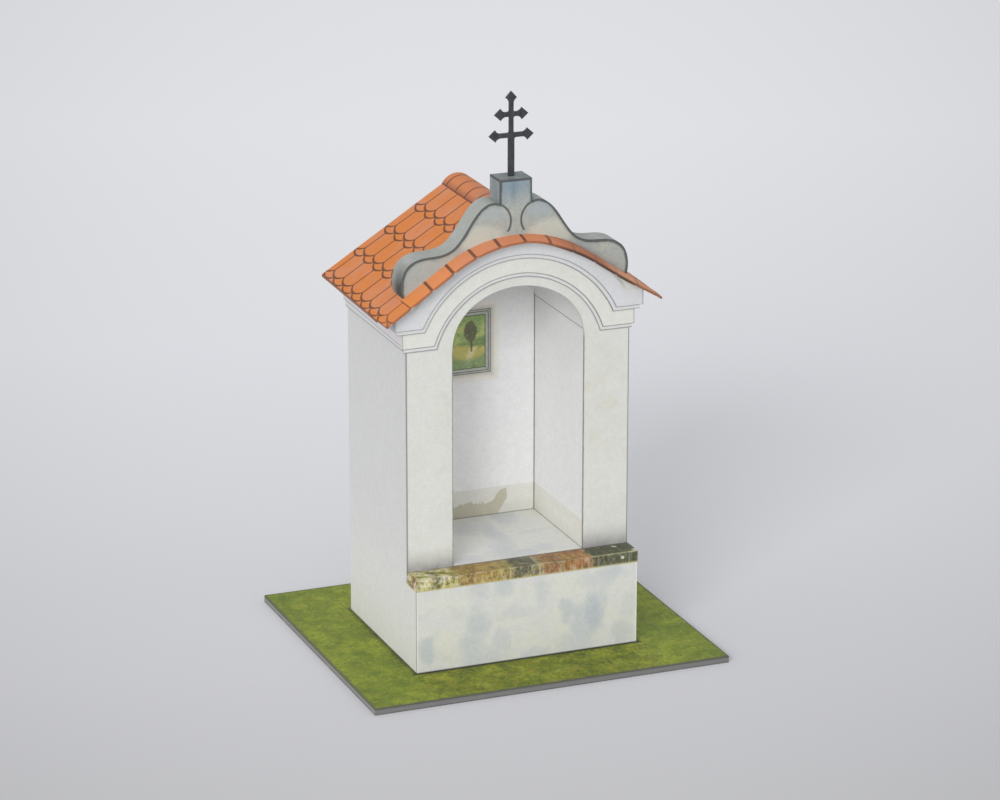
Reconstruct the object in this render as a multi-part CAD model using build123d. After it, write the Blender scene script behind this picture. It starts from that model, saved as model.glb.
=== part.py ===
from build123d import *
from math import cos, radians, sin, sqrt, tan
import os

# Card model of a small roadside shrine: an open arched niche over a plinth, under a tiled
# saddle roof whose front edge rides over the arch, with a scroll gable and a double cross.
# Millimetres, +Z up, +X to the right of someone facing the niche, +Y towards the back.
# The origin is the middle of the base board's underside.

# Sheets that the model is cut from
card = 0.3
board_thickness = 0.8
turf_thickness = 0.2

# Base board, past the body on each side and at the front and back
board_side_margin = 10.1
board_end_margin = 10.2

# Body
body_width = 34.0
body_depth = 27.6
plinth_height = 12.3
ledge_height = 1.75
ledge_overhang = 0.06
facade_setback = 3.73

# Niche
pier_width = 7.0
pier_height = 32.45
arch_rise = 8.1
niche_depth = 18.37

# Front cornice: level runs at the piers and rings over the arch, about one centre
ring_centre_drop = 3.5
archivolt_width = 1.3
cornice_gap = 0.15
lower_fillet_width = 0.6
frieze_width = 2.2
upper_fillet_width = 0.6
corona_width = 2.2
# how far each course stands in front of the facade, and past the side walls
lower_fillet_relief = 0.15
frieze_relief = 0.3
upper_fillet_relief = 0.5
corona_relief = 0.7
lower_fillet_side = 0.35
frieze_side = 0.65
upper_fillet_side = 1.4
corona_side = 1.85
# how far the two lower side courses stand above the front's, at the facade and at the rear
side_fillet_lift = (0.2, 0.35)
side_frieze_lift = (0.4, 0.85)

# Roof
eaves_overhang = 3.9
# the slopes ease from the pitch at the gable to a lower one at the rear
main_pitch = 32.8
rear_pitch = 32.1
ridge_bend_radius = 1.9
verge_pitch = 34.0
verge_overhang = 2.73
verge_depth = 3.8
# how far the main slope lies above the verge's flare, at the gable's foot
slope_step = 0.03
ridge_strip_half_width = 2.4

# Scroll gable, a shallow box that stands across the roof
gable_depth = 3.9
gable_foot_inset = 0.05
gable_lobe_bulge = 0.15
gable_rise = 12.34
pedestal_half_width = 2.4
pedestal_rise = 3.2
# the right scroll from its foot to the pedestal, as shares of the gable's half width
# and of its rise
scroll_shares = [
    (1.0, 0.19),
    (0.947, 0.355),
    (0.83, 0.434),
    (0.702, 0.446),
    (0.573, 0.488),
    (0.48, 0.603),
    (0.398, 0.769),
    (0.322, 0.909),
    (0.234, 0.992),
]
scroll_end_share = 0.983

# Cross
cross_thickness = 0.35
stem_foot_half_width = 0.45
stem_half_width = 0.32
bar_half_height = 0.33
lower_bar_height = 5.9
lower_bar_half_length = 3.35
bar_spacing = 3.0
upper_bar_half_length = 2.53
head_height = 3.3
finial_length = 0.95
finial_flare = 0.75
finial_half_width = 0.85
crossing_fillet = 0.25

# Sides, faces and levels that follow from these
half_body = body_width / 2
half_opening = half_body - pier_width
half_eaves = half_body + eaves_overhang
gable_foot = half_body - gable_foot_inset
front = -body_depth / 2
rear = body_depth / 2
facade = front + facade_setback
niche_end = facade + niche_depth
verge_front = facade - verge_overhang
verge_back = verge_front + verge_depth
gable_end = verge_back + gable_depth

ground = board_thickness + turf_thickness
plinth_top = ground + plinth_height
ledge_top = plinth_top + ledge_height
springing = ledge_top + pier_height

# each course of the cornice starts at this level and at this ring radius
ring_centre = springing - ring_centre_drop
lower_fillet_level = springing + cornice_gap
frieze_level = lower_fillet_level + lower_fillet_width
upper_fillet_level = frieze_level + frieze_width
corona_level = upper_fillet_level + upper_fillet_width
lower_fillet_radius = ring_centre_drop + arch_rise + archivolt_width
frieze_radius = lower_fillet_radius + lower_fillet_width
upper_fillet_radius = frieze_radius + frieze_width
corona_radius = upper_fillet_radius + upper_fillet_width

# the upper face of the verge, and the height where the two slopes would meet
verge_radius = corona_radius + corona_width + card
verge_bend_height = ring_centre + verge_radius * cos(radians(verge_pitch))
verge_bend_x = verge_radius * sin(radians(verge_pitch))
verge_foot_height = verge_bend_height - (gable_foot - verge_bend_x) * tan(radians(verge_pitch))
slope_foot_height = verge_foot_height + slope_step
ridge_height = slope_foot_height + gable_foot * tan(radians(main_pitch))

shoulder = slope_foot_height + gable_rise
pedestal_top = shoulder + pedestal_rise
cross_height = lower_bar_height + bar_spacing + head_height
sky = pedestal_top + cross_height


def at_y(sketch, y_front, y_back):
    """A plate whose outline is drawn in x and z, between two y values."""
    plane = Plane((0, y_back, 0), x_dir=(1, 0, 0), z_dir=(0, -1, 0))
    return extrude(plane * sketch, amount=y_back - y_front)


def block(x0, x1, y0, y1, z0, z1):
    """A box between two corners."""
    return Pos((x0 + x1) / 2, (y0 + y1) / 2, (z0 + z1) / 2) * Box(x1 - x0, y1 - y0, z1 - z0)


def mirrored(piece):
    """The same piece on the left."""
    return mirror(piece, about=Plane.YZ)


# --- roof surfaces -------------------------------------------------------------------


def slope_height(x, depth=0.0, pitch=main_pitch):
    """Height of a straight slope at x, measured `depth` under its upper face."""
    return ridge_height - abs(x) * tan(radians(pitch)) - depth / cos(radians(pitch))


def verge_height(x, depth=0.0):
    """Height of the verge's straight flare at x, measured `depth` under its upper face."""
    pitch = radians(verge_pitch)
    return verge_bend_height - (abs(x) - verge_bend_x) * tan(pitch) - depth / cos(pitch)


def under_verge(half_width, depth, bottom):
    """The area below the arched front verge."""
    radius = verge_radius - depth
    bend_x = radius * sin(radians(verge_pitch))
    bend_z = verge_height(bend_x, depth)
    outline = [
        Polyline(
            (-bend_x, bend_z),
            (-half_width, verge_height(half_width, depth)),
            (-half_width, bottom),
            (half_width, bottom),
            (half_width, verge_height(half_width, depth)),
            (bend_x, bend_z),
        ),
        ThreePointArc((bend_x, bend_z), (0, ring_centre + radius), (-bend_x, bend_z)),
    ]
    return make_face(outline)


def slope_section(y, pitch, half_width, depth, bottom):
    """Outline of the space below the slopes and their rounded ridge, at one y value."""
    angle = radians(pitch)
    radius = ridge_bend_radius - depth
    centre = ridge_height - ridge_bend_radius / cos(angle)
    bend_x = radius * sin(angle)
    bend_z = centre + radius * cos(angle)
    eaves_z = slope_height(half_width, depth, pitch)
    sides = Polyline(
        (-bend_x, y, bend_z),
        (-half_width, y, eaves_z),
        (-half_width, y, bottom),
        (half_width, y, bottom),
        (half_width, y, eaves_z),
        (bend_x, y, bend_z),
    )
    ridge = ThreePointArc((bend_x, y, bend_z), (0, y, centre + radius), (-bend_x, y, bend_z))
    return Wire([*sides.edges(), ridge.edge()])


def under_slopes(half_width, depth, bottom):
    """The space below the slopes, `depth` under their upper face, from the gable to the rear."""
    at_gable = slope_section(gable_end, main_pitch, half_width, depth, bottom)
    at_rear = slope_section(rear, rear_pitch, half_width, depth, bottom)
    return Solid.make_loft([at_gable, at_rear], ruled=True)


def roof_turn(inner, outer, upper, lower):
    """The stretch past the gable's foot where the sheet turns from the verge's pitch to the
    slope's, between two depths under its upper face."""
    ends = []
    for y, height in ((verge_back, verge_height), (gable_end, slope_height)):
        corners = [
            (inner, y, height(inner, lower)),
            (outer, y, height(outer, lower)),
            (outer, y, height(outer, upper)),
            (inner, y, height(inner, upper)),
        ]
        ends.append(Face(Wire.make_polygon([Vector(*c) for c in corners])))
    return Solid.make_loft([end.outer_wire() for end in ends], ruled=True)


def below_roof(piece):
    """Trims a piece to the underside of the roof sheets."""
    wide = half_eaves + eaves_overhang
    above = Pos(0, (ground + sky) / 2) * Rectangle(2 * wide, sky - ground)
    over_verge = at_y(above - under_verge(wide, card, ground), verge_front, verge_back)
    over_slopes = at_y(above, gable_end, rear) - under_slopes(wide, card, ground)
    over_turn = roof_turn(half_body - 2 * card, wide, ground - springing, card)
    piece = piece - over_verge - over_slopes
    return piece - over_turn - mirrored(over_turn)


# --- board ---------------------------------------------------------------------------


def board_layer(bottom, top):
    """A sheet as large as the base."""
    half_width = half_body + board_side_margin
    half_depth = rear + board_end_margin
    return block(-half_width, half_width, -half_depth, half_depth, bottom, top)


def make_base_board():
    return board_layer(0, board_thickness)


def make_turf_sheet():
    return board_layer(board_thickness, ground)


# --- body ----------------------------------------------------------------------------


def make_plinth_front():
    return block(-half_body, half_body, front, front + card, ground, plinth_top)


def make_ledge():
    """A folded tray over the plinth's step, open underneath and behind."""
    half_width = half_body + ledge_overhang
    tray = block(-half_width, half_width, front - ledge_overhang, facade, plinth_top, ledge_top)
    hollow = block(
        -half_width + card,
        half_width - card,
        front - ledge_overhang + card,
        facade,
        plinth_top,
        ledge_top - card,
    )
    return tray - hollow


def make_right_wall():
    lower = block(half_body - card, half_body, front + card, rear - card, ground, plinth_top)
    upper = block(half_body - card, half_body, facade + card, rear - card, plinth_top, sky)
    return below_roof(lower + upper)


def make_rear_wall():
    plate = block(-half_body, half_body, rear - card, rear, ground, sky)
    return plate & under_slopes(half_body, card, ground)


def make_right_pier():
    return block(half_opening, half_body, facade, facade + card, plinth_top, springing)


def arch_area(grow=0.0):
    """The head of the opening, half an ellipse above the springing."""
    head = Pos(0, springing) * Ellipse(half_opening + grow, arch_rise + grow)
    upper_half = Pos(0, springing + body_width / 2) * Rectangle(2 * body_width, body_width)
    return head & upper_half


def make_front_arch():
    outline = under_verge(half_body, card, springing) - arch_area()
    return at_y(outline, facade, facade + card)


# --- niche ---------------------------------------------------------------------------


def make_niche_floor():
    return block(-half_opening, half_opening, facade, niche_end, ledge_top - card, ledge_top)


def make_niche_right():
    return block(half_opening, half_opening + card, facade + card, niche_end, ledge_top - card, springing)


def make_niche_vault():
    return at_y(arch_area(card) - arch_area(), facade + card, niche_end)


def make_niche_back():
    outline_width = 2 * (half_opening + card)
    height = springing - (ledge_top - card)
    lower = Pos(0, springing - height / 2) * Rectangle(outline_width, height)
    return at_y(lower + arch_area(card), niche_end, niche_end + card)


# --- cornice -------------------------------------------------------------------------


def above_course(level, radius, half_width):
    """The area above a course's lower edge: level at the piers, a ring over the arch."""
    turn_x = sqrt(radius**2 - (level - ring_centre) ** 2)
    corners = [
        (turn_x, level),
        (half_width, level),
        (half_width, sky),
        (-half_width, sky),
        (-half_width, level),
        (-turn_x, level),
    ]
    ring = ThreePointArc((-turn_x, level), (0, ring_centre + radius), (turn_x, level))
    return make_face([Polyline(*corners), ring])


def make_front_course(level, radius, relief, side, next_level, next_radius):
    """One course of the front cornice, up to where the next one starts."""
    area = above_course(level, radius, half_body + side)
    area -= above_course(next_level, next_radius, half_eaves)
    return at_y(area, facade - relief, facade)


def make_corona():
    """The top course of the front cornice, up to the underside of the verge."""
    area = above_course(corona_level, corona_radius, half_body + corona_side)
    area &= under_verge(half_eaves, card, ground)
    return at_y(area, facade - corona_relief, facade)


def side_strip(level, lift, top, side):
    """One course of the right-hand cornice, layered card along the side wall. Its lower edge
    runs between two lifts above the level."""
    outline = Polygon(
        (facade, level + lift[0]),
        (rear, level + lift[1]),
        (rear, top),
        (facade, top),
        align=None,
    )
    plane = Plane((half_body, 0, 0), x_dir=(0, 1, 0), z_dir=(1, 0, 0))
    return extrude(plane * outline, amount=side)


def make_right_cornice_lower():
    fillet_strip = side_strip(lower_fillet_level, side_fillet_lift, upper_fillet_level, lower_fillet_side)
    frieze_strip = side_strip(frieze_level, side_frieze_lift, upper_fillet_level, frieze_side)
    return fillet_strip + frieze_strip


def make_right_cornice_upper():
    fillet_strip = side_strip(upper_fillet_level, (0, 0), corona_level, upper_fillet_side)
    corona_strip = side_strip(corona_level, (0, 0), sky, corona_side)
    return below_roof(fillet_strip + corona_strip)


# --- roof ----------------------------------------------------------------------------


def make_roof_right():
    """The right slope, with the turned stretch past the gable's foot."""
    sheet = under_slopes(half_eaves, 0, ground) - under_slopes(half_eaves, card, ground)
    right_half = block(0, half_eaves, gable_end, rear, ground, sky)
    return (sheet & right_half) + roof_turn(gable_foot, half_eaves, 0, card)


def make_roof_verge():
    """The arched band that carries the roof's front edge over the cornice."""
    band = under_verge(half_eaves, 0, ground) - under_verge(half_eaves, card, ground)
    return at_y(band, verge_front, verge_back)


def make_ridge_strip():
    """An arched strip over the ridge, with its long edges on the slopes."""
    drop = ridge_strip_half_width * tan(radians(main_pitch))
    radius = (ridge_strip_half_width**2 + drop**2) / (2 * drop)
    arch = Pos(0, ridge_height - radius) * (Circle(radius) - Circle(radius - card))
    return at_y(arch, gable_end, rear) - under_slopes(half_eaves, 0, ground)


# --- scroll gable --------------------------------------------------------------------


def scroll_points():
    """Points along the right scroll, from its foot up to the pedestal."""
    half_width = gable_foot + gable_lobe_bulge
    points = [(gable_foot, slope_foot_height)]
    for share_x, share_z in scroll_shares:
        points.append((share_x * half_width, slope_foot_height + share_z * gable_rise))
    points.append((pedestal_half_width, slope_foot_height + scroll_end_share * gable_rise))
    return points


def moved_in(points, inset):
    """The same curve, moved in by a sheet's thickness."""
    curve = Spline(*points)
    steps = 2 * len(points)
    moved = []
    for step in range(steps + 1):
        place = curve @ (step / steps)
        along = curve % (step / steps)
        moved.append((place.X - inset * along.Y, place.Y + inset * along.X))
    return moved


def gable_area(inset=0.0):
    """The outline between the two scrolls, with the pedestal, down into the body."""
    points = scroll_points()
    if inset:
        points = moved_in(points, inset)
    foot_x = points[0][0]
    neck_z = points[-1][1]
    sides = Polyline(points[-1], (0, neck_z), (0, springing), (foot_x, springing), points[0])
    half = make_face([Spline(*points), sides])
    pedestal_height = pedestal_top - card - springing
    pedestal = Pos(0, springing + pedestal_height / 2) * Rectangle(
        2 * (pedestal_half_width - inset), pedestal_height
    )
    return half + mirror(half, about=Plane.YZ) + pedestal


def make_gable_front():
    outline = gable_area() - under_verge(half_eaves, card / 2, ground)
    return at_y(outline, verge_back, verge_back + card)


def make_gable_back():
    section = slope_section(0, main_pitch, half_eaves, card / 2, ground)
    outline = gable_area() - Plane.XZ.to_local_coords(make_face(section))
    return at_y(outline, gable_end - card, gable_end)


def make_gable_edge_right():
    """The strip that closes the box along the right scroll and up the pedestal."""
    strip = gable_area() - gable_area(card)
    keep = Pos(half_eaves / 2, slope_foot_height + sky / 2) * Rectangle(half_eaves, sky)
    return at_y(strip & keep, verge_back + card, gable_end - card)


def make_pedestal_cap():
    half_width = pedestal_half_width
    return block(-half_width, half_width, verge_back, gable_end, pedestal_top - card, pedestal_top)


# --- cross ---------------------------------------------------------------------------


def finial(tip, direction, neck_half_width):
    """A pointed end whose sides flare in hollow curves to its widest line."""
    across = Vector(-direction.Y, direction.X)
    wide = tip - direction * finial_length
    neck = wide - direction * finial_flare
    middle = neck + direction * (0.6 * finial_flare)
    hollow_half_width = neck_half_width + 0.3 * (finial_half_width - neck_half_width)
    sides = []
    for side in (1, -1):
        sides.append([
            neck + across * (side * neck_half_width),
            middle + across * (side * hollow_half_width),
            wide + across * (side * finial_half_width),
        ])
    left, right = sides
    outline = [
        ThreePointArc(*left),
        Polyline(left[2], tip, right[2]),
        ThreePointArc(*right),
        Line(left[0], right[0]),
    ]
    return make_face(outline)


def make_cross():
    bars = [
        (lower_bar_height, lower_bar_half_length),
        (lower_bar_height + bar_spacing, upper_bar_half_length),
    ]
    neck_height = cross_height - finial_length - finial_flare
    outline = Pos(0, lower_bar_height / 2) * Rectangle(2 * stem_foot_half_width, lower_bar_height)
    outline += Pos(0, neck_height / 2) * Rectangle(2 * stem_half_width, neck_height)
    for height, half_length in bars:
        length = 2 * (half_length - finial_length - finial_flare)
        outline += Pos(0, height) * Rectangle(length, 2 * bar_half_height)
    crossings = outline.vertices().filter_by_position(Axis.X, -stem_foot_half_width, stem_foot_half_width)
    crossings = crossings.filter_by_position(Axis.Y, 0, neck_height, inclusive=(False, False))
    outline = fillet(crossings, crossing_fillet)
    outline += finial(Vector(0, cross_height), Vector(0, 1), stem_half_width)
    for height, half_length in bars:
        for side in (-1, 1):
            outline += finial(Vector(side * half_length, height), Vector(side, 0), bar_half_height)
    middle = (verge_back + gable_end) / 2
    plate = at_y(outline, middle - cross_thickness / 2, middle + cross_thickness / 2)
    return Pos(0, 0, pedestal_top) * plate


# --- the whole model -----------------------------------------------------------------

right_wall = make_right_wall()
right_pier = make_right_pier()
niche_right = make_niche_right()
right_cornice_lower = make_right_cornice_lower()
right_cornice_upper = make_right_cornice_upper()
roof_right = make_roof_right()
gable_edge_right = make_gable_edge_right()

pieces = {
    "base_board": make_base_board(),
    "turf_sheet": make_turf_sheet(),
    "plinth_front": make_plinth_front(),
    "ledge": make_ledge(),
    "wall_right": right_wall,
    "wall_left": mirrored(right_wall),
    "wall_rear": make_rear_wall(),
    "pier_right": right_pier,
    "pier_left": mirrored(right_pier),
    "front_arch": make_front_arch(),
    "niche_floor": make_niche_floor(),
    "niche_right": niche_right,
    "niche_left": mirrored(niche_right),
    "niche_back": make_niche_back(),
    "niche_vault": make_niche_vault(),
    "cornice_lower_fillet": make_front_course(
        lower_fillet_level,
        lower_fillet_radius,
        lower_fillet_relief,
        lower_fillet_side,
        frieze_level,
        frieze_radius,
    ),
    "cornice_frieze": make_front_course(
        frieze_level,
        frieze_radius,
        frieze_relief,
        frieze_side,
        upper_fillet_level,
        upper_fillet_radius,
    ),
    "cornice_upper_fillet": make_front_course(
        upper_fillet_level,
        upper_fillet_radius,
        upper_fillet_relief,
        upper_fillet_side,
        corona_level,
        corona_radius,
    ),
    "cornice_corona": make_corona(),
    "side_cornice_lower_right": right_cornice_lower,
    "side_cornice_lower_left": mirrored(right_cornice_lower),
    "side_cornice_upper_right": right_cornice_upper,
    "side_cornice_upper_left": mirrored(right_cornice_upper),
    "roof_right": roof_right,
    "roof_left": mirrored(roof_right),
    "roof_verge": make_roof_verge(),
    "ridge_strip": make_ridge_strip(),
    "gable_front": make_gable_front(),
    "gable_back": make_gable_back(),
    "gable_edge_right": gable_edge_right,
    "gable_edge_left": mirrored(gable_edge_right),
    "pedestal_cap": make_pedestal_cap(),
    "cross": make_cross(),
}

os.makedirs("parts", exist_ok=True)
for name, piece in pieces.items():
    export_step(piece, f"parts/{name}.step")
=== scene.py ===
import math
from functools import partialmethod

import bmesh
import bpy
from mathutils import Matrix, Vector
from mathutils.geometry import delaunay_2d_cdt


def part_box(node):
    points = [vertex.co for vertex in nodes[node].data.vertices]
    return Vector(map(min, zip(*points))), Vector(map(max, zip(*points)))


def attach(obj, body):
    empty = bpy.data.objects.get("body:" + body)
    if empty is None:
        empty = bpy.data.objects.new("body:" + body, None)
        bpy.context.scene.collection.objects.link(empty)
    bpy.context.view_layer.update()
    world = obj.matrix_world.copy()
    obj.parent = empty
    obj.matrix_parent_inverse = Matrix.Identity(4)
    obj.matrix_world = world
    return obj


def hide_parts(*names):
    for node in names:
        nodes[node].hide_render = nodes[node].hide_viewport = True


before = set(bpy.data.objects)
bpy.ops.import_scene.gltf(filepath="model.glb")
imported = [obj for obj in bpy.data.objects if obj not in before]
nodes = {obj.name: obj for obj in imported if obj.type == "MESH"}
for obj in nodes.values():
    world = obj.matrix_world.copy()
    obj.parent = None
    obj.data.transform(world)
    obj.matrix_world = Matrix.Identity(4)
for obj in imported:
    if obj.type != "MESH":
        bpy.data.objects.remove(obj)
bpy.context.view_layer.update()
print("shrine: frame loaded with", len(nodes), "card pieces")


def inMm(node):
    low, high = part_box(node)
    return low * 1000, high * 1000


# where the folds and edges of the model are, in millimetres
plinthLow, plinthHigh = inMm("plinth_front")
pierLow, pierHigh = inMm("pier_right")
vergeLow, vergeHigh = inMm("roof_verge")
gableLow, gableHigh = inMm("gable_front")
capLow, capHigh = inMm("pedestal_cap")
stripLow, stripHigh = inMm("ridge_strip")
turfLow, turfHigh = inMm("turf_sheet")
lowerFilletLow, lowerFilletHigh = inMm("cornice_lower_fillet")
friezeLow, friezeHigh = inMm("cornice_frieze")
upperFilletLow = inMm("cornice_upper_fillet")[0]
coronaLow, coronaHigh = inMm("cornice_corona")

side = plinthHigh.x
front = plinthLow.y
ground = plinthLow.z
facade = pierLow.y
rear = inMm("wall_rear")[1].y
ledgeTop = inMm("ledge")[1].z
plinthTop = plinthHigh.z
springing = pierHigh.z
opening = pierLow.x
nicheEnd = inMm("niche_back")[0].y
eaves = inMm("roof_right")[1].x
card = 0.3


class Term:
    # a socket that can be used in a sum
    def __init__(self, tree, socket):
        self.tree = tree
        self.socket = socket

    def maths(self, operation, *others):
        values = dict(enumerate((self, *others)))
        return self.tree.node("ShaderNodeMath", {"operation": operation}, values)

    def reflected(self, operation, other):
        return self.tree.node("ShaderNodeMath", {"operation": operation}, {0: other, 1: self})

    __add__ = partialmethod(maths, "ADD")
    __radd__ = partialmethod(reflected, "ADD")
    __sub__ = partialmethod(maths, "SUBTRACT")
    __rsub__ = partialmethod(reflected, "SUBTRACT")
    __mul__ = partialmethod(maths, "MULTIPLY")
    __rmul__ = partialmethod(reflected, "MULTIPLY")
    __truediv__ = partialmethod(maths, "DIVIDE")
    __gt__ = partialmethod(maths, "GREATER_THAN")
    __lt__ = partialmethod(maths, "LESS_THAN")
    __pow__ = partialmethod(maths, "POWER")
    __abs__ = partialmethod(maths, "ABSOLUTE")
    floor = partialmethod(maths, "FLOOR")
    least = partialmethod(maths, "MINIMUM")
    most = partialmethod(maths, "MAXIMUM")

    def fromMiddle(self):
        # the distance from the middle of the whole step that a place is in
        return abs(self - self.floor() - 0.5)


class Tree:
    # adds nodes to one node tree
    def __init__(self, tree):
        self.tree = tree

    def node(self, kind, settings=None, values=None, output=0):
        made = self.tree.nodes.new(kind)
        for name, setting in (settings or {}).items():
            if name == "stops":
                self.setStops(made.color_ramp, setting)
            elif name == "points":
                self.setPoints(made.mapping, setting)
            else:
                setattr(made, name, setting)
        for place, value in (values or {}).items():
            if isinstance(value, Term):
                self.tree.links.new(value.socket, made.inputs[place])
            else:
                made.inputs[place].default_value = value
        if isinstance(output, tuple):
            return [Term(self, made.outputs[name]) for name in output]
        return Term(self, made.outputs[output]) if made.outputs else made

    def rise(self, value, low, high):
        # 0 at low and 1 at high, either way round, with soft ends
        values = {"Value": value, "From Min": low, "From Max": high}
        return self.node("ShaderNodeMapRange", {"interpolation_type": "SMOOTHSTEP"}, values)

    def setStops(self, ramp, stops):
        while len(ramp.elements) < len(stops):
            ramp.elements.new(1.0)
        for element, (place, colour) in zip(ramp.elements, stops):
            element.position = place
            element.color = colour

    def setPoints(self, mapping, points):
        curve = mapping.curves[0]
        while len(curve.points) < len(points):
            curve.points.new(0.5, 0.5)
        for point, (x, y) in zip(curve.points, points):
            point.location = (x, y)
        mapping.update()


def ink(red, green, blue):
    # a printed colour on a scale of 255, as the light that it sends back
    shares = [level / 255 for level in (red, green, blue)]
    lights = [s / 12.92 if s <= 0.04045 else ((s + 0.055) / 1.055) ** 2.4 for s in shares]
    return (*lights, 1.0)


class Shade(Tree):
    # one material, with places on the model in millimetres and the print laid on so far
    def __init__(self, name, marks=None):
        self.material = bpy.data.materials.new(name)
        self.material.use_nodes = True
        super().__init__(self.material.node_tree)
        self.tree.nodes.clear()
        self.marks = marks or {}
        self.colour = None
        where = self.node("ShaderNodeTexCoord", {}, {}, "Object")
        inMetres = {0: where, "Scale": 1000.0}
        self.place = self.node("ShaderNodeVectorMath", {"operation": "SCALE"}, inMetres)
        self.x, self.y, self.z = self.split(self.place)
        facing = self.node("ShaderNodeNewGeometry", {}, {}, "Normal")
        self.facingX, self.facingY, self.facingZ = self.split(facing)

    def split(self, vector):
        return self.node("ShaderNodeSeparateXYZ", {}, {0: vector}, ("X", "Y", "Z"))

    def kept(self, name, output):
        # what a mesh carries under that name
        return self.node("ShaderNodeAttribute", {"attribute_name": name}, {}, output)

    def line(self, distance, halfWidth, soft=0.06):
        return self.rise(abs(distance), halfWidth + soft, halfWidth - soft)

    def ahead(self):
        return self.rise(self.facingY, -0.5, -0.8)

    def below(self):
        return self.rise(self.facingZ, 0.0, -0.3)

    def blot(self, x, z, middle, reach):
        # a soft round stain
        across = (x - middle[0]) / reach[0]
        up = (z - middle[1]) / reach[1]
        return self.rise(across * across + up * up, 1.0, 0.0)

    def noise(self, size, detail=3.0, rough=0.5, stretch=(1, 1, 1), shift=0.0):
        spread = {"Vector": self.place, "Location": (shift, shift, shift), "Scale": stretch}
        moved = self.node("ShaderNodeMapping", {}, spread)
        values = {"Vector": moved, "Scale": 1.0 / size, "Detail": detail, "Roughness": rough}
        return self.node("ShaderNodeTexNoise", {}, values)

    def patches(self, low, high, *grain, **more):
        return self.rise(self.noise(*grain, **more), low, high)

    def stray(self, amount, *grain, **more):
        return (self.noise(*grain, **more) - 0.5) * amount

    def waver(self, size, amount):
        # how far a line drawn by hand strays, in millimetres
        return self.stray(amount, size, 3.0, 0.6, shift=71.0)

    def dice(self, x, y, z=0.0):
        # one random number for each whole number given
        joined = self.node("ShaderNodeCombineXYZ", {}, {0: x, 1: y, 2: z})
        return self.node("ShaderNodeTexWhiteNoise", {}, {"Vector": joined})

    def tone(self, tone):
        # a tone can be a name, red, green and blue, or a colour worked out by nodes
        if isinstance(tone, str):
            tone = self.marks[tone]
        return ink(*tone) if isinstance(tone, tuple) else tone

    def mix(self, first, second, share):
        values = {0: share, 6: self.tone(first), 7: self.tone(second)}
        return self.node("ShaderNodeMix", {"data_type": "RGBA"}, values, 2)

    def lay(self, tone, share):
        self.colour = self.mix(self.colour, tone, share)

    def fade(self, tone, value, low, high, share):
        # lays a tone from where the value is low to where it is high
        self.lay(tone, self.rise(value, low, high) * share)

    def ramp(self, value, stops):
        tones = [(place, self.tone(tone)) for place, tone in stops]
        return self.node("ShaderNodeValToRGB", {"stops": tones}, {0: value})

    def paper(self, roughness=0.62, fibre=0.012, specular=0.25, grain=0.11):
        # the card's own surface under the ink: felted fibres, and a faint sheen that varies
        felt = self.noise(0.22, 4.0, 0.62)
        pulp = self.noise(0.9, 2.0, 0.5, shift=11.0)
        relief = felt * 0.7 + pulp * 0.3
        hollows = self.rise(relief, 0.64, 0.36)
        heights = {"Strength": 0.6, "Distance": fibre * 0.001, "Height": relief}
        values = {
            "Base Color": self.mix(self.colour, (116, 115, 112), hollows * grain),
            "Roughness": roughness + (felt - 0.5) * 0.12,
            "Normal": self.node("ShaderNodeBump", {}, heights),
            "Specular IOR Level": specular,
        }
        surface = self.node("ShaderNodeBsdfPrincipled", {}, values)
        self.node("ShaderNodeOutputMaterial", {}, {"Surface": surface})
        return self.material


cardTones = {
    "plain": (219, 219, 218),
    "greyLine": (142, 141, 138),
    "darkLine": (66, 64, 64),
    "creamWash": (220, 221, 215),
    "creamShade": (211, 211, 203),
    "ochre": (214, 210, 192),
}


boardMarks = {
    "dark": (126, 127, 128),
    "light": (154, 155, 157),
    "fibre": (112, 102, 88),
    "frontEdge": (109, 110, 107),
    "leftEdge": (144, 142, 130),
    "upperLip": (92, 91, 86),
    "lowerLip": (82, 81, 80),
}


def makeBoardShade():
    # grey board, pressed in layers, with brown fibres and darker lips on its cut edges
    shade = Shade("greyBoard", boardMarks)
    layers = shade.noise(0.5, 4.0, 0.6, (0.25, 0.25, 3.0))
    specks = shade.patches(0.6, 0.72, 0.28, 2.0, 0.5, shift=4.0)
    shade.colour = shade.ramp(layers, [(0.3, "dark"), (0.7, "light")])
    shade.lay("fibre", specks * 0.45)
    # painted shade: the front and left cut faces get tones of their own, the front much the darker
    shade.lay("frontEdge", shade.ahead() * 0.75)
    shade.fade("leftEdge", shade.facingX, -0.5, -0.8, 0.5)
    upperLip = shade.rise(shade.z + (layers - 0.5) * 0.3, ground - 0.42, ground - 0.12)
    shade.lay("upperLip", upperLip * 0.7)
    shade.fade("lowerLip", shade.z + (layers - 0.5) * 0.2, 0.24, 0.06, 0.7)
    return shade.paper(0.8, 0.05)


turfMarks = {
    "deep": (80, 94, 24),
    "middle": (116, 127, 28),
    "light": (152, 158, 46),
    "dry": (152, 130, 54),
    "bladeSize": 0.5,
    "patchSize": 2.0,
    "fresh": (142, 172, 52),
    "contactShadeReach": 1.0,
    "rim": 0.55,
    "gap": (26, 30, 14),
    "worn": (92, 92, 74),
    "cut": (88, 88, 74),
}


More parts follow.
